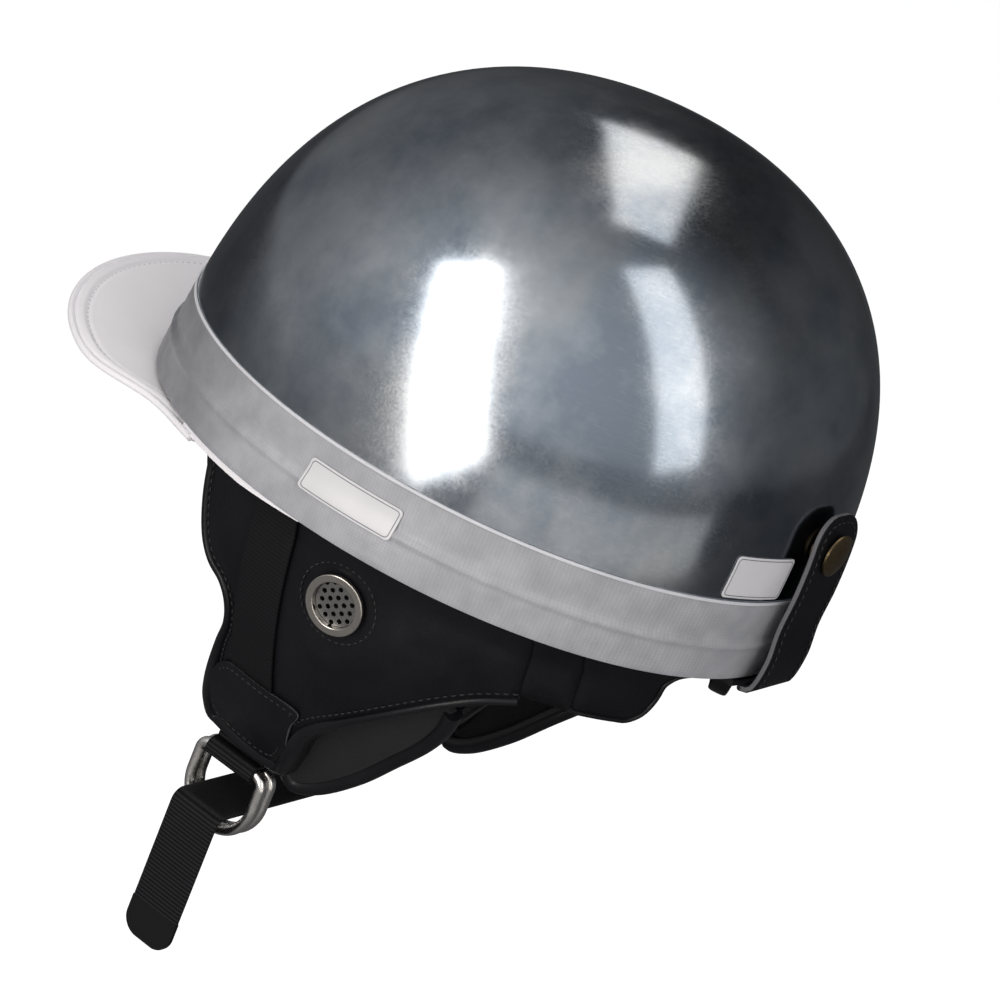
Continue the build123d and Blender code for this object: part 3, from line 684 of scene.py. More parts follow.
# Painted highlight: a paler copy of the tape for its raised top edge
TAPE_EDGE_HIGHLIGHT = plain("tape_edge_painted_highlight", (0.62, 0.63, 0.68), 0.5)
RUBBER = plain("dark_rubber", (0.018, 0.018, 0.02), 0.45, size=1.5, depth=0.03)
WHITE_LEATHER = leather("white_leather", (0.91, 0.90, 0.95), 0.55, grain=0.9, depth=0.02, vary=1.02)
BLACK_LEATHER = leather("black_leather", (0.006, 0.006, 0.0078), 0.38, grain=0.8, depth=0.04, specular=0.19)
BINDING = leather("binding_leather", (0.007, 0.007, 0.0088), 0.32, grain=0.6, depth=0.02, specular=0.28)
LINING = knit("lining", (0.009, 0.009, 0.0105))
KNIT = knit("comfort_knit", (0.02, 0.02, 0.023))
WEBBING = twill("webbing", (0.008, 0.008, 0.0095), contrast=0.25)
CHIN_WEBBING = twill("chin_webbing", (0.010, 0.010, 0.0115))
SEALED_TIP = plain("sealed_tip", (0.008, 0.008, 0.0085), 0.55, size=1.5, depth=0.05, specular=0.15)
NICKEL = metal("nickel", (0.66, 0.62, 0.57), 0.16, worn=0.25)
# Painted highlight: a brighter copy of the nickel for the D-rings, standing in for the strong light on them
NICKEL_PAINTED_HIGHLIGHT = metal("nickel_painted_highlight", (0.93, 0.90, 0.87), 0.2, worn=0.12)
DARK_DISC = metal("dark_disc", (0.30, 0.30, 0.30), 0.35, worn=0.3)
BRASS = metal("antique_brass", (0.27, 0.20, 0.115), 0.34, worn=0.45, size=2)
STEEL_RIVET = metal("rivet_steel", (0.5, 0.5, 0.5), 0.3)
STICKER = sticker()
STICKER_FRAME = plain("sticker_frame", (0.16, 0.17, 0.2), 0.4)
FOAM = foam()
THREAD = plain("black_thread", (0.02, 0.02, 0.022), 0.6, size=0.6)
WHITE_THREAD = plain("white_thread", (0.55, 0.55, 0.62), 0.6, size=0.6)
CUT_EDGE = plain("cut_edge", (0.10, 0.10, 0.11), 0.6, size=1.0)
PADDED = [BLACK_LEATHER, LINING, LINING]


def finish(material, *names):
    """Gives CAD pieces their material and smooth shading."""
    for name in names:
        obj = nodes[name]
        obj.data.materials.clear()
        obj.data.materials.append(material)
        obj.data.shade_smooth()
        obj.data.set_sharp_from_angle(angle=math.radians(35))


finish(RUBBER, "rim_trim")
finish(FOAM, "foam_liner")
finish(NICKEL, "left_vent_flange", "right_vent_flange", "left_vent_washer", "right_vent_washer")
finish(DARK_DISC, "left_vent_disc", "right_vent_disc")
finish(NICKEL_PAINTED_HIGHLIGHT, "d_ring_inner", "d_ring_outer")
finish(STEEL_RIVET, "anchor_rivet_left", "anchor_rivet_right", "goggle_base_rivet")
finish(BRASS, "snap_cap", "snap_socket", "snap_stud")
finish(CHIN_WEBBING, "d_ring_hanger", "right_strap_stub")
finish(SEALED_TIP, "tail_tip")
finish(BLACK_LEATHER, "goggle_base")

# Shell: outer and inner faces with a thin edge

shell_profile = [(LENGTH, 0.35), (LENGTH, 6), (LENGTH, 12)]
shell_profile += dome_curve(0, 56)
shell_profile += dome_curve(SHELL_WALL, 40)[::-1]
shell_profile += [(LENGTH - SHELL_WALL, 8), (LENGTH - SHELL_WALL, 0.35), (LENGTH - 1.25, 0), (LENGTH - 0.35, 0)]
shell = lathe("shell_dome", shell_profile, [STEEL], segments=256)
dress(shell, "root", "shell", "outer_shell")

# Cloth tape: it lies on the trim up to a raised line and on the shell above it, and its top edge is paler, a painted
# highlight

TAPE_LOW, TAPE_HIGH, TAPE_TOP, TAPE_COLUMNS = 1.84, 0.62, 28.4, 720
# Rows of the tape's top edge that get the painted highlight
TAPE_HIGHLIGHT_ROWS = range(19, 23)


def tape_ripple(angle, z):
    """Height of the tape's wrinkles."""
    along = angle * 115
    folds = noise.noise(Vector((along * 0.05, z * 0.12, 3.7)))
    creases = noise.noise(Vector((along * 0.16, z * 0.3, 9.1)))
    slack = noise.noise(Vector((along * 0.02 + z * 0.12, z * 0.25, 5.5)))
    pull = noise.noise(Vector((along * 0.035, 1.5, 8.8)))
    ridge = 0.5 * pull * math.exp(-(((z - 11.5) / 2.2) ** 2))
    return 0.24 * folds + 0.16 * creases + 0.22 * slack + ridge


tape_face = [(1.55, -1.55), (TAPE_LOW, -1.0)]
tape_face += [(TAPE_LOW, z) for z in (1, 3.5, 6)]
tape_face += [(1.8, 8), (1.62, 9.4), (1.72, 10.3), (2.15, 11.2), (2.2, 12.0), (1.75, 12.8), (0.98, 13.6)]
tape_face += [(TAPE_HIGH, z) for z in (14.6, 17, 19, 21, 23, 25, 27)]
tape_face += [(0.66, 28.1), (0.82, TAPE_TOP), (0.82, 28.95), (0.6, 29.1), (0.14, 29.1)]
tape_profile = [(dome_radius(-out, z), z) for out, z in tape_face]
tape_profile += [(dome_radius(-0.14, z), z) for z in (24, 19, 14.3)]
tape_profile += [(LENGTH + 1.34, 11.9), (LENGTH + 1.34, -1.3)]
tape_kinds = [int(i in TAPE_HIGHLIGHT_ROWS) for i in range(len(tape_profile))]


def tape_surface_ripple(angle, z):
    """Wrinkles fade out at the tape's two edges."""
    if z > 28.2 or z < -1.2:
        return 0.0
    return max(-0.1, tape_ripple(angle, z)) * min(1.0, (TAPE_TOP - z) / 3)


tape = lathe(
    "cloth_band", tape_profile, [TAPE, TAPE_EDGE_HIGHLIGHT], segments=TAPE_COLUMNS, kinds=tape_kinds, ripple=tape_surface_ripple
)
dress(tape, "root", "tape", "rim_tape")

# Base cover of the liner, headband and crown pad

PAD_INSET, BAND_LOW, BAND_HIGH, BAND_ROWS, BAND_COLUMNS = 23.3, 8.0, 62.0, 24, 180
BAND_HEIGHT = BAND_HIGH - BAND_LOW
CROWN_REACH, CROWN_SUNK, CROWN_WALL = 96.0, 0.2, 6.6

cover_section = [(8.5, 13.0), (9.2, 12.7), (22.3, 12.7), (23, 13.0), (23, 13.9), (8.5, 13.9)]
cover = lathe("base_cover", [(LENGTH - inset, z) for inset, z in cover_section], [LINING], segments=128)
dress(cover, "root", "lining", "liner_cover", fill=0.8)


def quilt(angle, z):
    """Sewn channels across the headband."""
    wave = abs(math.sin(angle * 9))
    rows = abs(math.sin((z - BAND_LOW) / BAND_HEIGHT * math.pi * 3))
    return 1.0 - 1.1 * wave**0.5 * rows**0.4


band_profile = []
for step in range(BAND_ROWS + 1):
    z = BAND_LOW + BAND_HEIGHT * step / BAND_ROWS
    band_profile.append((dome_radius(PAD_INSET, z), z))
for step in range(BAND_ROWS + 1):
    z = BAND_HIGH - BAND_HEIGHT * step / BAND_ROWS
    n = min(1.0, min(step, BAND_ROWS - step) / 3)
    soft = 4.9 * math.sqrt(1 - (1 - n) ** 2)
    band_profile.append((dome_radius(PAD_INSET + soft, z), z))

headband = lathe("headband_pad", band_profile, [KNIT], segments=BAND_COLUMNS)
for index, vertex in enumerate(headband.data.vertices):
    # Only the face towards the head is quilted
    row, column = divmod(index, BAND_COLUMNS)
    if BAND_ROWS + 1 < row < 2 * BAND_ROWS:
        angle = 2 * math.pi * column / BAND_COLUMNS
        push = quilt(angle, vertex.co.z / MM) * MM
        vertex.co += Vector((math.cos(angle), math.sin(angle), 0)) * push
dress(headband, "root", "lining", "headband", fill=0.6)


def crown_place(u, v, depth):
    """The crown pad: flat (u, v) laid on the inside of the dome."""
    reach, angle = math.hypot(u, v), math.atan2(v, u)
    curve = dome_curve(PAD_INSET + depth, 60)
    travelled = 0.0
    for a, b in zip(curve[::-1], curve[-2::-1]):
        step = math.hypot(b[0] - a[0], b[1] - a[1])
        if travelled + step >= reach:
            t = (reach - travelled) / step
            return fitted(a[0] + (b[0] - a[0]) * t, angle, a[1] + (b[1] - a[1]) * t)
        travelled += step
    return fitted(curve[0][0], angle, curve[0][1])


crown_outline = []
for step in range(96):
    angle = 2 * math.pi * step / 96
    reach = CROWN_REACH + 4.5 * math.cos(angle * 6)
    crown_outline.append((reach * math.cos(angle), reach * math.sin(angle)))
crown = panel(
    "crown_cushion", crown_outline, crown_place, CROWN_WALL, [KNIT], edge_drop=2.8, round_over=7, grid=4.5,
    shape=lambda u, v, d: -CROWN_SUNK,
)
dress(crown, "root", "lining", "crown_pad", fill=0.6)

# Peak: a soft padded board with a stitched border

PEAK_SIDES, PEAK_FRONT, PEAK_BELLY, PEAK_SQUARE = 84.5, 166.0, 95.0, 2.2
PEAK_ROOT, PEAK_LIFT, PEAK_DROP = -4.3, 8.6, 1.9
PEAK_BACK, PEAK_WAIST, PEAK_STEPS, PEAK_ROOT_IN = 57.0, 83.0, 12, 5.0
PEAK_COLUMNS, PEAK_ROWS, PEAK_HALF, SEAM_IN = 220, 44, 1.5, 5.0


def peak_free_edge(grow):
    """The peak's free edge from its left end round the front to its right end."""
    wide, reach = PEAK_SIDES + grow, PEAK_FRONT - PEAK_BELLY + grow
    middle = []
    for step in range(1, PEAK_STEPS):
        angle = math.pi * step / PEAK_STEPS
        x = wide * math.copysign(abs(math.cos(angle)) ** (2 / PEAK_SQUARE), math.cos(angle))
        y = -PEAK_BELLY - reach * math.sin(angle) ** (2 / PEAK_SQUARE)
        z = PEAK_ROOT - PEAK_DROP + (PEAK_LIFT + PEAK_DROP) * (1 - (x / PEAK_SIDES) ** 2)
        middle.append((x, y, z))
    root_x = HALF_WIDTH * math.sqrt(1 - (PEAK_BACK / LENGTH) ** 2) + grow
    left = [(root_x, -PEAK_BACK, PEAK_ROOT), (PEAK_SIDES + grow, -PEAK_WAIST, PEAK_ROOT)]
    return left + middle + [(-x, y, z) for x, y, z in reversed(left)]


peak_edge = even(catmull(peak_free_edge(0), 0.5), 1.0)
root_a, root_b = HALF_WIDTH - PEAK_ROOT_IN, LENGTH - PEAK_ROOT_IN
root_start = math.asin(PEAK_BACK / root_b)


def peak_point(share, across):
    """A point of the board: share runs along the free edge, across from the root (0) to the edge (1)."""
    place = share * (len(peak_edge) - 1)
    i = min(int(place), len(peak_edge) - 2)
    edge = peak_edge[i].lerp(peak_edge[i + 1], place - i)
    angle = -root_start - share * (math.pi - 2 * root_start)
    root = Vector((root_a * math.cos(angle), root_b * math.sin(angle), PEAK_ROOT))
    return root.lerp(edge, across)


def peak_surface():
    """Top and bottom of the board as one closed skin, with a sewn groove near its edge."""
    columns, rows = PEAK_COLUMNS, PEAK_ROWS
    distances = [1 - (1 - row / rows) ** 2.2 for row in range(rows + 1)]
    points = []
    for column in range(columns + 1):
        share = column / columns
        length = (peak_point(share, 1) - peak_point(share, 0)).length
        for face in (1, -1):
            for across in distances:
                point = peak_point(share, across)
                away = min(length * (1 - across), 60.0)
                n = min(away / 1.6, 1.0)
                half = PEAK_HALF * math.sqrt(max(0.0, 1 - (1 - n) ** 2))
                half -= 0.5 * math.exp(-(((away - SEAM_IN) / 0.8) ** 2))
                half += 0.35 * math.exp(-(((away - 3.0) / 1.3) ** 2))
                if face > 0:
                    half += 0.25 * noise.noise(Vector((point.x * 0.03, point.y * 0.03, 1.0)))
                points.append((point.x, point.y, point.z + face * half))
    faces = []
    width = 2 * (rows + 1)
    for column in range(columns):
        a, b = column * width, (column + 1) * width
        for row in range(rows):
            faces.append([a + row, a + row + 1, b + row + 1, b + row])
            low = rows + 1 + row
            faces.append([a + low, b + low, b + low + 1, a + low + 1])
        faces.append([a, b, b + rows + 1, a + rows + 1])
        faces.append([a + rows, a + width - 1, b + width - 1, b + rows])
    for a in (0, columns * width):
        for row in range(rows):
            faces.append([a + row, a + row + 1, a + rows + 2 + row, a + rows + 1 + row])
    return mesh_object("peak_cover", points, faces, [WHITE_LEATHER], sharp=60)


peak_cover = peak_surface()
dress(peak_cover, "root", "peak_leather", "peak", fill=0.5)
flange_section = [
    (3.1, PEAK_ROOT - 1.3), (6.5, PEAK_ROOT - 1.3), (6.5, PEAK_ROOT), (4.6, -1.3), (4.6, 11.5), (3.1, 11.5),
]
flange_end = math.asin(PEAK_BACK / LENGTH)
flange = lathe(
    "peak_flange", [(LENGTH - inset, z) for inset, z in flange_section], [WHITE_LEATHER],
    span=(math.pi + flange_end, 2 * math.pi - flange_end),
)
dress(flange, "root", "peak_leather")

# The leather runs on from the peak's two ends below the tape and thins out
ROOT_SECTION = [(1.0, -1.7), (-0.8, -1.6), (-2.6, -1.6), (-2.6, -3.4), (-0.8, -4.2), (0.9, -3.9)]
ROOT_TOP = -1.6
for word, span in (("left", (-0.52, 0.02)), ("right", (math.pi - 0.02, math.pi + 0.52))):
    strip = lathe(
        f"peak_root_{word}", [(LENGTH + out, z) for out, z in ROOT_SECTION], [WHITE_LEATHER], segments=40, span=span
    )
    for vertex in strip.data.vertices:
        share = clamped((vertex.co.y / MM + 26) / 28)
        vertex.co.z = ROOT_TOP * MM + (vertex.co.z - ROOT_TOP * MM) * (1 - 0.8 * share)
    dress(strip, "root", "peak_leather")

piping_path = even(catmull(peak_free_edge(1.0), 0.5), 1.2)
piping = sweep(
    "peak_cord_edge", piping_path, [(0, 0, 1)] * len(piping_path), rounded_section(2.6, 2.6, 2.0, 14), [WHITE_LEATHER]
)
dress(piping, "root", "peak_leather", "peak_piping")
border = []
for i in range(8, 393):
    share = i / 400
    length = (peak_point(share, 1) - peak_point(share, 0)).length
    if length > 9:
        border.append(peak_point(share, 1 - SEAM_IN / length) + Vector((0, 0, 0.85)))
peak_thread = stitches(
    "peak_stitching", border, [Vector((0, 0, 1))] * len(border), WHITE_THREAD, pitch=3.2, lift=0.15
)
dress(peak_thread, "root", "peak_leather")

# Ear flaps: padded leather with bindings, vents, straps and keeper patches

FLAP_EDGE = [
    (-0.46, 0.0), (-0.417, 0.21), (-0.371, 0.32), (-0.319, 0.373), (-0.261, 0.398), (-0.227, 0.441),
    (-0.218, 0.5), (-0.248, 0.593), (-0.307, 0.78), (-0.319, 0.85), (-0.303, 0.92), (-0.22, 0.945), (-0.05, 0.949),
    (0.034, 0.93), (0.084, 0.845), (0.151, 0.705), (0.269, 0.585), (0.378, 0.490), (0.529, 0.365), (0.622, 0.300),
    (0.7017, 0.262),
]
PATCH_EDGE = [
    (-0.185, 0.64), (-0.04, 0.632), (0.11, 0.64), (0.085, 0.70), (0.05, 0.83), (0.0, 0.90), (-0.12, 0.915),
    (-0.26, 0.89), (-0.275, 0.83), (-0.24, 0.70),
]
CUFF_HIGH = [(0, -101), (4, -94), (12, -82), (22, -68), (34, -56), (46, -46), (58, -36)]
CUFF_LOW = [
    (50, 1.5, -112), (49, 5, -114.5), (48, 13, -111), (48, 27, -98), (50, 39, -83), (54, 50, -69), (60, 58, -56),
    (66, 62, -46),
]
CUFF_COLUMNS, CUFF_ROWS, CUFF_WALL = 40, 10, 3.0
VENT_Y, VENT_Z, VENT_BORE, VENT_SEAM = 20.5, -24.5, 9.3, 14.2
UNDER_RIM = -1.8
STRAP_TOP_Y, STRAP_LOW_Y, STRAP_LOW_Z, STRAP_HALF = -12.6, -9.0, -74.0, 10.0

flap_curve = catmull([(y * FLAP_LENGTH, -z * FLAP_DROP, 0) for y, z in FLAP_EDGE], 2.2)
flap_curve = [(wall_u(p.x, p.y), p.y) for p in flap_curve]
flap_front = FLAP_EDGE[0][0] * FLAP_LENGTH
top_line = [(wall_u(flap_front + k * (FLAP_REAR - flap_front) / 50, FLAP_TOP), FLAP_TOP) for k in range(51)]
rear_line = [(wall_u(FLAP_REAR, FLAP_TOP - k * 3), FLAP_TOP - k * 3) for k in range(1, 16)]
rear_line = [p for p in rear_line if p[1] > flap_curve[-1][1] + 1.5]
flap_outline = top_line[:0:-1] + flap_curve + rear_line[::-1]
vent_u = wall_u(VENT_Y, VENT_Z)


def strap_middle(z):
    """Where the upper strap's middle lies at height z."""
    share = (FLAP_TOP - z) / (FLAP_TOP - STRAP_LOW_Z)
    return STRAP_TOP_Y + (STRAP_LOW_Y - STRAP_TOP_Y) * share


def flap_swell(u, v, distance):
    """How far the padding stands proud: less under the strap, the patch and the vent."""
    y = FLAP_LENGTH * math.sin(u / UNROLL)
    from_vent = math.hypot(u - vent_u, v - VENT_Z)
    clear = clamped((from_vent - 12.5) / 10) * clamped(-v / 14)
    if v > STRAP_LOW_Z - 6:
        clear *= clamped((abs(y - strap_middle(v)) - 12) / 12)
    if -38 < y < 18:
        clear *= clamped((v + 72) / 10)
    edge = clamped((distance - 3) / 9)
    waves = 1.2 * noise.noise(Vector((u * 0.045, v * 0.045, 2.2)))
    soft = 1.3 + waves + 0.5 * noise.noise(Vector((u * 0.13, v * 0.11, 7.4)))
    groove = 0.35 * math.exp(-(((from_vent - VENT_SEAM) / 0.8) ** 2))
    return clear * edge * soft - 0.25 - groove


def vent_ring(radius, count=28):
    """A flat circle round the vent's middle."""
    turns = (2 * math.pi * k / count for k in range(count))
    return [(vent_u + radius * math.cos(a), VENT_Z + radius * math.sin(a)) for a in turns]


def on_side(side, sunk=0.0):
    """Lays flat sheets on the panels' wall of one side, sunk from its outer face."""
    return lambda u, v, depth: wall_point(u, v, depth + sunk, side)


def place_outs(points, place):
    """Outward directions at flat points of a sheet."""
    return [(Vector(place(u, v, 0)) - Vector(place(u, v, 1))).normalized() for u, v in points]


def wall_outs(points, side):
    """Outward directions of the panels' wall at flat (u, z) points."""
    return place_outs(points, on_side(side))


def on_wall(points, depth, side):
    """Flat (u, z) points laid on the panels' wall."""
    return [Vector(wall_point(u, z, depth, side)) for u, z in points]


def flat_even(points, pitch):
    """Flat points spaced along their line."""
    return [(p.x, p.y) for p in even([Vector((a, b, 0)) for a, b in points], pitch)]


def closed_catmull(points, pitch):
    """A smooth closed flat loop through points."""
    return [(p.x, p.y) for p in catmull([(a, b, 0) for a, b in points], pitch, closed=True)]


def under_rim(points):
    """The part of a line that lies below the rim."""
    return [p for p in points if p[1] < UNDER_RIM]


def lip_size(z):
    """The binding swells into a thick rolled lip towards the flap's tip."""
    share = eased((-z - 62) / 30)
    return (1 + 0.9 * share, 1 + 0.16 * share)


def moved_left(line, reaches):
    """Flat points moved to the left of their line, each by its own reach."""
    out = []
    for i, ((u, z), reach) in enumerate(zip(line, reaches)):
        a, b = line[max(0, i - 1)], line[min(len(line) - 1, i + 1)]
        along = Vector((b[0] - a[0], b[1] - a[1])).normalized()
        out.append((u - along.y * reach, z + along.x * reach))
    return out


def wall_stitches(name, line, lift, side, **sizes):
    """Dark thread along a flat line on the panels' wall."""
    thread = stitches(name, on_wall(line, -lift, side), wall_outs(line, side), THREAD, **sizes)
    dress(thread, "root", "black_leather")


def flap_body(side, word):
    """The padded flap with its binding and the stitches beside it."""
    flap = panel(
        f"{word}_flap_pad", flap_outline, on_side(side), FLAP_WALL, PADDED, edge_drop=2.2, round_over=6,
        grid=2.6, shape=flap_swell, holes=[vent_ring(VENT_BORE)],
    )
    dress(flap, "root", "black_leather", f"{word}_ear_flap", fill=0.6)
    line = flat_even(under_rim(flap_curve), 1.6)
    sizes = [lip_size(z) for _, z in line]
    middle = moved_left(line, [1.5 * wide for wide, _ in sizes])
    binding = sweep(
        f"{word}_edge_binding", on_wall(middle, 4.0, side), wall_outs(middle, side), rounded_section(3.4, 9.5, 3.2, 24),
        [BINDING], sizes=sizes,
    )
    dress(binding, "root", "black_leather", f"{word}_binding", fill=0.7)
    seam = moved_left(line, [3.0 * wide + 1.6 for wide, _ in sizes])
    wall_stitches(f"{word}_flap_stitching", seam, 0.1, side, pitch=3.0)


def vent_trim(side, word):
    """The seam round the vent, and a dark lining sheet behind its perforated disc, put there as painted shade for the
    holes.
    """
    ring = vent_ring(VENT_SEAM, 90)
    wall_stitches(f"{word}_vent_stitching", ring + ring[:1], 0.05, side, length=1.9, pitch=2.6)
    # Painted shade: a dark sheet inside the flap closes the vent so its holes look shaded
    shade_backing = panel(
        f"{word}_vent_shade_backing", vent_ring(VENT_BORE - 0.1), on_side(side, 6.2), 0.8, [LINING], edge_drop=0.1,
        round_over=0.5,
    )
    dress(shade_backing, "root", "lining")


def cuff(side, word):
    """The rolled cuff: its lining hangs from the flap's inside to a low line nearer the head, which is bound."""
    upper = even([Vector(wall_point(wall_u(y, z), z, 7.6, side)) for y, z in CUFF_HIGH], 2.0)
    lower = catmull([(side * x, y, z) for x, y, z in CUFF_LOW], 2.0)
    sag = Vector((side * 2.4, 0, 1.2))
    points, faces = [], []
    for layer in (0.0, -CUFF_WALL):
        for k in range(CUFF_COLUMNS + 1):
            a, b = (line[round(k / CUFF_COLUMNS * (len(line) - 1))] for line in (upper, lower))
            for j in range(CUFF_ROWS + 1):
                p = a.lerp(b, j / CUFF_ROWS) + sag * math.sin(math.pi * j / CUFF_ROWS)
                points.append((p.x + side * layer, p.y, p.z))
    width = CUFF_ROWS + 1
    back = width * (CUFF_COLUMNS + 1)
    for k in range(CUFF_COLUMNS):
        for a in range(k * width, k * width + CUFF_ROWS):
            faces.append([a, a + 1, a + width + 1, a + width])
            faces.append([back + a, back + a + width, back + a + width + 1, back + a + 1])
        for a in (k * width, k * width + CUFF_ROWS):
            faces.append([a, a + width, back + a + width, back + a])
    for j in range(CUFF_ROWS):
        for a in (j, CUFF_COLUMNS * width + j):
            faces.append([a, a + 1, back + a + 1, back + a])
    lining = mesh_object(f"{word}_cuff", points, faces, [LINING], sharp=60)
    dress(lining, "root", "lining", fill=0.5)
    edge = [p - Vector((side * CUFF_WALL / 2, 0, 0)) for p in even(lower, 1.5)]
    roll = sweep(
        f"{word}_cuff_roll", edge, [(side, 0, 0)] * len(edge), rounded_section(6.4, 6.4, 2.2, 18), [BINDING]
    )
    dress(roll, "root", "black_leather", fill=0.7)


def upper_strap(side, word):
    """Webbing down the flap."""
    middle = []
    for k in range(41):
        z = FLAP_TOP + (STRAP_LOW_Z - FLAP_TOP) * k / 40
        middle.append((strap_middle(z), z))
    outline = [(wall_u(y - STRAP_HALF, z), z) for y, z in middle]
    outline += [(wall_u(y + STRAP_HALF, z), z) for y, z in reversed(middle)]
    strap = panel(
        f"{word}_webbing", outline, on_side(side, -1.62), 1.5, [WEBBING], edge_drop=0.5, round_over=0.9, grid=3.5,
        shape=lambda u, v, d: 0.12 * noise.noise(Vector((u * 0.05, v * 0.06, 4))),
    )
    dress(strap, "root", "webbing", f"{word}_upper_strap")


def patch_swell(u, v, distance):
    """The hanger under the patch raises it."""
    return 0.9 * math.exp(-(((v + 88) / 9) ** 2)) + 0.3 * noise.noise(Vector((u * 0.08, v * 0.08, 6)))


def keeper_patch(side, word):
    """The leather patch sewn over the strap's end."""
    outline = [(wall_u(y * FLAP_LENGTH, -z * FLAP_DROP), -z * FLAP_DROP) for y, z in PATCH_EDGE]
    outline = closed_catmull(outline, 2.0)
    patch = panel(
        f"{word}_keeper", outline, on_side(side, -1.35), 1.2, [BLACK_LEATHER, LINING, CUT_EDGE], edge_drop=0.25,
        round_over=1.2, grid=3.0, shape=patch_swell,
    )
    dress(patch, "root", "black_leather", f"{word}_keeper_patch")
    seam = drawn_in(outline, 2.4)
    wall_stitches(f"{word}_keeper_stitching", flat_even(seam + seam[:1], 1.5), 1.45, side, pitch=2.9)


GUSSET_FRONT, GUSSET_REAR, GUSSET_LOW = 82.4, 96.5, -28.6
LEVELS = [FLAP_TOP, 6, 0, -6, -12, -18, -24]


def gusset(side, word):
    """The soft panel between flap and neck flap."""
    edge = [(GUSSET_FRONT, z) for z in LEVELS] + [(82.5, -27.6), (83.2, GUSSET_LOW)]
    edge += [(95.8, GUSSET_LOW), (96.4, -27.6)] + [(GUSSET_REAR, z) for z in reversed(LEVELS)]
    pad = panel(
        f"gusset_{word}_pad", [(wall_u(y, z), z) for y, z in edge], on_side(side, 0.8), 6.5,
        PADDED, edge_drop=1.6, round_over=3.2, grid=2.4,
        shape=lambda u, v, d: 0.35 * min(1, d / 4) if v < -2 else 0.0,
    )
    dress(pad, "root", "black_leather", f"gusset_{word}", fill=0.5)


for side, word in ((1, "left"), (-1, "right")):
    for piece in (flap_body, vent_trim, cuff, upper_strap, keeper_patch, gusset):
        piece(side, word)

# Neck flap with its notch and binding

NECK_FRONT_Y, NECK_LOW, NOTCH_Z, NECK_SUNK = 95.3, -29.0, -8.0, 1.8
HALF_TURN = UNROLL * math.pi
NOTCH_EDGE = [
    (30.5, -28.0), (27.3, -25.0), (25.6, -19.0), (25.6, -13.0), (23.5, -9.3), (19, NOTCH_Z), (10, NOTCH_Z),
]

neck_place = on_side(1, NECK_SUNK)


def neck_u(x, z):
    """Where x lies round the wall at height z, at the nape."""
    level = -z / FLAP_DROP
    across = FLAP_WIDTH * (1 - FLAP_CURL * level**2) - NECK_SUNK
    return UNROLL * math.acos(max(-1.0, min(1.0, x / across)))


corner = wall_u(NECK_FRONT_Y, NECK_LOW)
low_end = neck_u(30, NECK_LOW)
half_low = [(wall_u(NECK_FRONT_Y, z), z) for z in LEVELS + [-26.5]]
half_low += [(corner + 2.5, NECK_LOW + 0.1)]
half_low += [(corner + (low_end - corner) * k / 8, NECK_LOW) for k in range(1, 8)]
half_low += [(neck_u(x, z), z) for x, z in NOTCH_EDGE]
low_line = half_low + [(HALF_TURN - u, z) for u, z in reversed(half_low)]
top_span = low_line[0][0] - low_line[-1][0]
neck_top = [(low_line[-1][0] + top_span * k / 60, FLAP_TOP) for k in range(1, 60)]


def neck_swell(u, v, distance):
    """Soft padding below the rim."""
    if v >= -3:
        return 0.0
    return (0.6 + 0.6 * noise.noise(Vector((u * 0.05, v * 0.06, 8)))) * min(1, distance / 6)


neck = panel(
    "neck_pad", low_line + neck_top, neck_place, 6.0, PADDED, edge_drop=1.6, round_over=3.5, grid=3.0,
    shape=neck_swell,
)
dress(neck, "root", "black_leather", "neck_flap", fill=0.5)
neck_line = catmull([(u, z, 0) for u, z in under_rim(low_line)], 2.0)
neck_line = flat_even([(p.x, p.y) for p in neck_line], 1.6)
neck_edge = sweep(
    "neck_binding", [Vector(neck_place(u, z + 0.6, 3.0)) for u, z in neck_line], wall_outs(neck_line, 1),
    rounded_section(2.2, 6.9, 3.0, 20), [BINDING],
)
dress(neck_edge, "root", "black_leather")

# Chin strap from the right stub through the rings, with its fold and the hanging tail

STEM_X, RING_Y = 48.3875, -20.0
CHIN_Z, FOLD_X, TAIL_Z = -136.5, 62.9875, -182.5
BLEND_TOP, BLEND_LOW = -139.5, -144.5
STUB_Z, WEB_WIDTH, WEB_WALL = -117.0, 22.0, 1.6


def rounded_path(points, radii, step=1.0):
    """Straight runs joined by arcs, in the XZ plane."""
    out = [Vector(points[0])]
    for before, here, after, radius in zip(points, points[1:], points[2:], radii):
        before, here, after = Vector(before), Vector(here), Vector(after)
        first, second = (before - here).normalized(), (after - here).normalized()
        half = first.angle(second) / 2
        reach = radius / math.tan(half)
        a, b = here + first * reach, here + second * reach
        centre = here + (first + second).normalized() * (radius / math.sin(half))
        turn = math.pi - 2 * half
        count = max(3, round(radius * turn / step))
        for k in range(count + 1):
            mixed = a.lerp(b, k / count) - centre
            out.append(centre + mixed.normalized() * radius)
    out.append(Vector(points[-1]))
    return out


chin_route = [
    (-STEM_X, RING_Y, STUB_Z), (-STEM_X * 0.97, RING_Y, (STUB_Z * 2 + CHIN_Z) / 3),
    (-STEM_X * 0.6, RING_Y, (STUB_Z + CHIN_Z * 5) / 6), (0, RING_Y, CHIN_Z), (FOLD_X, RING_Y, CHIN_Z),
    (FOLD_X, RING_Y, TAIL_Z),
]
chin_path = even(rounded_path(chin_route, [8, 16, 22, 4], 0.6), 0.8)
chin_outs = []
for i, point in enumerate(chin_path):
    a, b = chin_path[max(0, i - 1)], chin_path[min(len(chin_path) - 1, i + 1)]
    along = (b - a).normalized()
    chin_outs.append(Vector((0, -1, 0)).cross(along))
webbing = sweep(
    "chin_webbing", chin_path, chin_outs, rounded_section(WEB_WIDTH, WEB_WALL, 5.0, 28), [CHIN_WEBBING]
)
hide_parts("chin_strap", "strap_tail")
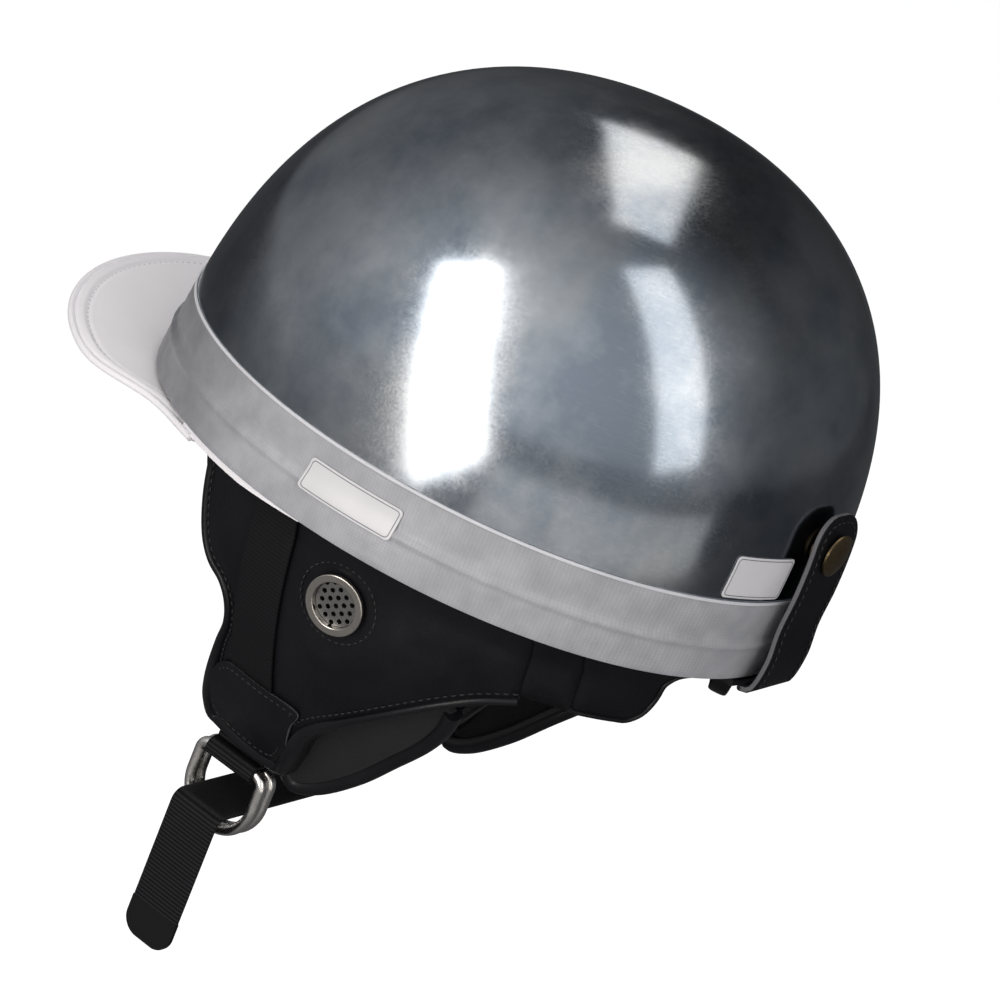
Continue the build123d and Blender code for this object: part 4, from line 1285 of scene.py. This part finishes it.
blend_start, blend_end = ((FOLD_X * MM, RING_Y * MM, z * MM) for z in (BLEND_TOP, BLEND_LOW))
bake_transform(webbing)
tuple(blend_start)
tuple(blend_end)

# Goggle strap: thick leather with a pale cut edge, curled at the bottom

PIVOT_Y, PIVOT_Z, STRAP_WALL, STRAP_WIDTH, STRAP_TOP = 130.4, -3.6, 2.4, 26.0, 64.0
STRAP_PITCH, STRAP_CORNER, STRAP_START, SEAM_INSET = 0.5, 10.4, 0.6, 2.6


def arc(centre_u, centre_v, radius, start, steps=10):
    """A quarter turn of flat points; start counts quarter turns."""
    out = []
    for k in range(steps + 1):
        angle = (start + k / steps) * math.pi / 2
        out.append((centre_u + radius * math.cos(angle), centre_v + radius * math.sin(angle)))
    return out


def strap_y(z):
    """Where the middle of the goggle strap's thickness lies at height z."""
    tape = TAPE_LOW if z < WIDEST else 0
    return dome_radius(-tape, z) + LEAN * z + 5.2 - 2.1 * z / STRAP_TOP + STRAP_WALL / 2


strap_points = [(0, PIVOT_Y, PIVOT_Z), (0, PIVOT_Y + 3.4, PIVOT_Z + 1.4)]
strap_points += [(0, strap_y(STRAP_TOP * share), STRAP_TOP * share) for share in (0.14, 0.33, 0.55, 0.78, 1.0)]
strap_curve = even(catmull(strap_points, STRAP_PITCH), STRAP_PITCH)
strap_length = STRAP_PITCH * (len(strap_curve) - 1)


def goggle_place(u, v, depth):
    """The strap unrolled: u across it, v along it from the curl."""
    place = max(0.0, min(v / STRAP_PITCH, len(strap_curve) - 1.001))
    i = int(place)
    point = strap_curve[i].lerp(strap_curve[i + 1], place - i)
    along = (strap_curve[min(i + 4, len(strap_curve) - 1)] - strap_curve[max(i - 4, 0)]).normalized()
    out = along.cross(Vector((1, 0, 0)))
    if out.y < 0 and v > 8:
        out = -out
    moved = point + out * (STRAP_WALL / 2 - depth)
    return (u, moved.y, moved.z)


half, straight = STRAP_WIDTH / 2, strap_length - STRAP_CORNER
steps = max(2, round(straight / 2.0))
rises = [STRAP_START + (straight - STRAP_START) * k / steps for k in range(steps + 1)]
goggle_outline = [(0.4 - half, 0.0), (half - 0.4, 0.0)] + [(half, v) for v in rises]
goggle_outline += arc(half - STRAP_CORNER, straight, STRAP_CORNER, 0)[1:]
goggle_outline += arc(STRAP_CORNER - half, straight, STRAP_CORNER, 1)
goggle_outline += [(-half, v) for v in rises[-2::-1]]
goggle = panel(
    "goggle_keeper", goggle_outline, goggle_place, STRAP_WALL, [BLACK_LEATHER, BLACK_LEATHER, CUT_EDGE], edge_drop=0.45,
    round_over=0.8, grid=2.6,
)
dress(goggle, "goggle_strap", "black_leather", "goggle_strap")
curl = sweep(
    "goggle_curl", [Vector((x, PIVOT_Y, PIVOT_Z)) for x in (-12.9, -12.4, 0, 12.4, 12.9)], [(0, 0, 1)] * 5,
    rounded_section(2.4, 2.4, 2.0, 18), [BLACK_LEATHER], sizes=[(0.8, 0.8), (1, 1), (1, 1), (1, 1), (0.8, 0.8)],
)
dress(curl, "goggle_strap", "black_leather")
goggle_seam = [(half - SEAM_INSET, 6 + k) for k in range(int(straight - 6))]
goggle_seam += arc(half - STRAP_CORNER, straight, STRAP_CORNER - SEAM_INSET, 0)
goggle_seam += [(-u, v) for u, v in reversed(goggle_seam)]
goggle_line = [Vector(goggle_place(u, v, -0.1)) for u, v in goggle_seam]
goggle_thread = stitches("goggle_stitching", goggle_line, place_outs(goggle_seam, goggle_place), THREAD, pitch=3.0)
dress(goggle_thread, "goggle_strap", "black_leather")

# Blank stickers with a thin printed border


LABEL_WALL, BORDER_IN = 0.25, 0.9


def rounded_rectangle(low_u, high_u, low_v, high_v, radius):
    """A flat rounded rectangle."""
    low_u, high_u, low_v, high_v = low_u + radius, high_u - radius, low_v + radius, high_v - radius
    centres = ((high_u, high_v), (low_u, high_v), (low_u, low_v), (high_u, low_v))
    return [p for turn, (u, v) in enumerate(centres) for p in arc(u, v, radius, turn, 6)]


def densely(loop):
    """A closed loop with no side longer than a millimetre and a half."""
    out = []
    for a, b in zip(loop, loop[1:] + loop[:1]):
        count = max(1, math.ceil(math.hypot(b[0] - a[0], b[1] - a[1]) / 1.5))
        out += [(a[0] + (b[0] - a[0]) * k / count, a[1] + (b[1] - a[1]) * k / count) for k in range(count)]
    return out


def dome_place(low_out, high_out):
    """Lays a flat sheet on the helmet, lower above the tape's line: u is the angle times UNROLL, v the height."""

    def place(u, v, depth):
        rise = low_out + (high_out - low_out) * eased((v - 9.6) / 8.0)
        return fitted(dome_radius(-rise + depth, v), u / UNROLL, v)

    return place


def angle_u(y, z):
    """The unrolled place of y on the helmet's left side."""
    return UNROLL * math.asin((y - LEAN * z) / LENGTH)


def nape_u(x):
    """The unrolled place of x at the rear sticker's height."""
    return UNROLL * math.acos(x / (NARROW_SHARE * dome_radius(-0.5, 38)))


def blank_label(name, node, low_u, high_u, low_v, high_v, place):
    """A sticker and its border, with nothing printed inside."""
    outline = densely(rounded_rectangle(low_u, high_u, low_v, high_v, 1.6))
    sheet = panel(name, outline, place, LABEL_WALL, [STICKER], edge_drop=0.08, round_over=0.4, grid=2.0)
    dress(sheet, "root", "blank_sticker", node)
    line = densely(rounded_rectangle(low_u + BORDER_IN, high_u - BORDER_IN, low_v + BORDER_IN, high_v - BORDER_IN, 1.2))
    points = [Vector(place(u, v, -0.02)) for u, v in line]
    border = sweep(
        name + "_border", points, place_outs(line, place), rounded_section(0.32, 0.08, 2.0, 8), [STICKER_FRAME],
        closed=True,
    )
    dress(border, "root", "blank_sticker")


blank_label("side_blank", "side_label", angle_u(-2.0, 15), angle_u(35.5, 15), 9.3, 21.0, dome_place(2.8, 1.3))
blank_label("rear_blank", "rear_label", nape_u(37.5), nape_u(12.5), 30.5, 46.0, dome_place(0.5, 0.5))

# Floor, world and soft boxes

FLOOR_Z, FLOOR_HALF = -0.45, 14.0


def floor():
    """A wide pale floor below the hanging helmet, darker where the metal mirrors it."""
    s = Shader("pale_floor", (0.6, 0.6, 0.62), 0.9, specular=0.1)
    path = s.node("ShaderNodeLightPath").outputs
    s.set("Emission Color", (1, 1, 1, 1))
    ahead = s.node("ShaderNodeSeparateXYZ", Vector=s.place()).outputs["X"]
    shine = s.ramp(s.times(ahead, 1 / 3000), (0.0, 0.0), (0.8, 0.30))
    mirrored = s.times(path["Is Glossy Ray"], shine)
    s.set("Emission Strength", s.add(s.times(path["Is Camera Ray"], 0.75), mirrored))
    s.colour(s.mix(path["Is Glossy Ray"], (0.6, 0.6, 0.62), (0.12, 0.122, 0.13)))
    corners = ((-1, -1), (1, -1), (1, 1), (-1, 1))
    mesh = bpy.data.meshes.new("floor")
    mesh.from_pydata([(x * FLOOR_HALF, y * FLOOR_HALF, FLOOR_Z) for x, y in corners], [], [(0, 1, 2, 3)])
    mesh.materials.append(s.material)
    obj = bpy.data.objects.new("floor", mesh)
    bpy.context.scene.collection.objects.link(obj)


def world():
    """White for the camera; the metal sees a dim room that is lighter behind the camera."""
    made = bpy.data.worlds.new("studio")
    made.use_nodes = True
    w = Nodes(made.node_tree)
    path = w.node("ShaderNodeLightPath").outputs
    direction = w.node("ShaderNodeTexCoord").outputs["Generated"]

    def term(towards, power, strength):
        """Light from one side: strength times the cosine to a power."""
        dot = w.tree.nodes.new("ShaderNodeVectorMath")
        dot.operation = "DOT_PRODUCT"
        dot.inputs[1].default_value = towards
        w.plug(direction, dot.inputs[0])
        facing = w.math("MAXIMUM", dot.outputs["Value"], 0.0)
        return w.times(w.math("POWER", facing, power), strength)

    sides = w.add(term((0.45, -0.88, 0.12), 1.0, 0.25), term((-0.35, 0.93, -0.1), 1.0, 0.10))
    glow = w.add(term((0.94, 0.23, 0.24), 1.6, 0.76), sides)
    mirrored = w.ramp(glow, (0.0, (0.024, 0.025, 0.027)), (1.0, (1.0, 1.01, 1.02)))
    even_light = w.math("SUBTRACT", 0.47, term((0.25, -0.96, -0.1), 1.0, 0.34))
    lit = w.mix(path["Is Glossy Ray"], even_light, mirrored)
    seen = w.mix(path["Is Camera Ray"], lit, (1.0, 1.0, 1.0))
    w.plug(seen, w.tree.nodes["Background"].inputs["Color"])
    bpy.context.scene.world = made


TINT = (1.0, 0.95, 0.88)
LIT_POINT = Vector((0, 0, 0.06))


def soft_box(name, centre, up, width, height, radiance):
    """A flat light that faces the helmet; radiance is how bright its face looks."""
    data = bpy.data.lights.new(name, "AREA")
    data.shape = "RECTANGLE"
    data.size, data.size_y = width, height
    data.color = TINT
    data.energy = radiance * math.pi * width * height
    away = (Vector(centre) - LIT_POINT).normalized()
    rise = (Vector(up) - away * Vector(up).dot(away)).normalized()
    side = rise.cross(away)
    obj = bpy.data.objects.new(name, data)
    bpy.context.scene.collection.objects.link(obj)
    obj.matrix_world = Matrix.Translation(centre) @ Matrix((side, rise, away)).transposed().to_4x4()


floor()
world()
soft_box("box_left", (0.889, -0.165, 0.193), (-0.231, -0.495, 0.838), 0.30, 0.90, 5.0)
soft_box("box_right", (0.66, 0.867, 0.769), (-0.062, -0.619, 0.783), 0.40, 1.70, 2.0)
soft_box("box_top", (-0.234, -0.209, 1.178), (-0.842, -0.459, -0.284), 0.36, 1.25, 1.75)
soft_box("box_low", (0.72, 0.80, -0.28), (0, 0, 1), 1.5, 0.30, 0.62)

camera()
scene = bpy.context.scene
scene.view_settings.view_transform = "Standard"
scene.view_settings.look = "None"
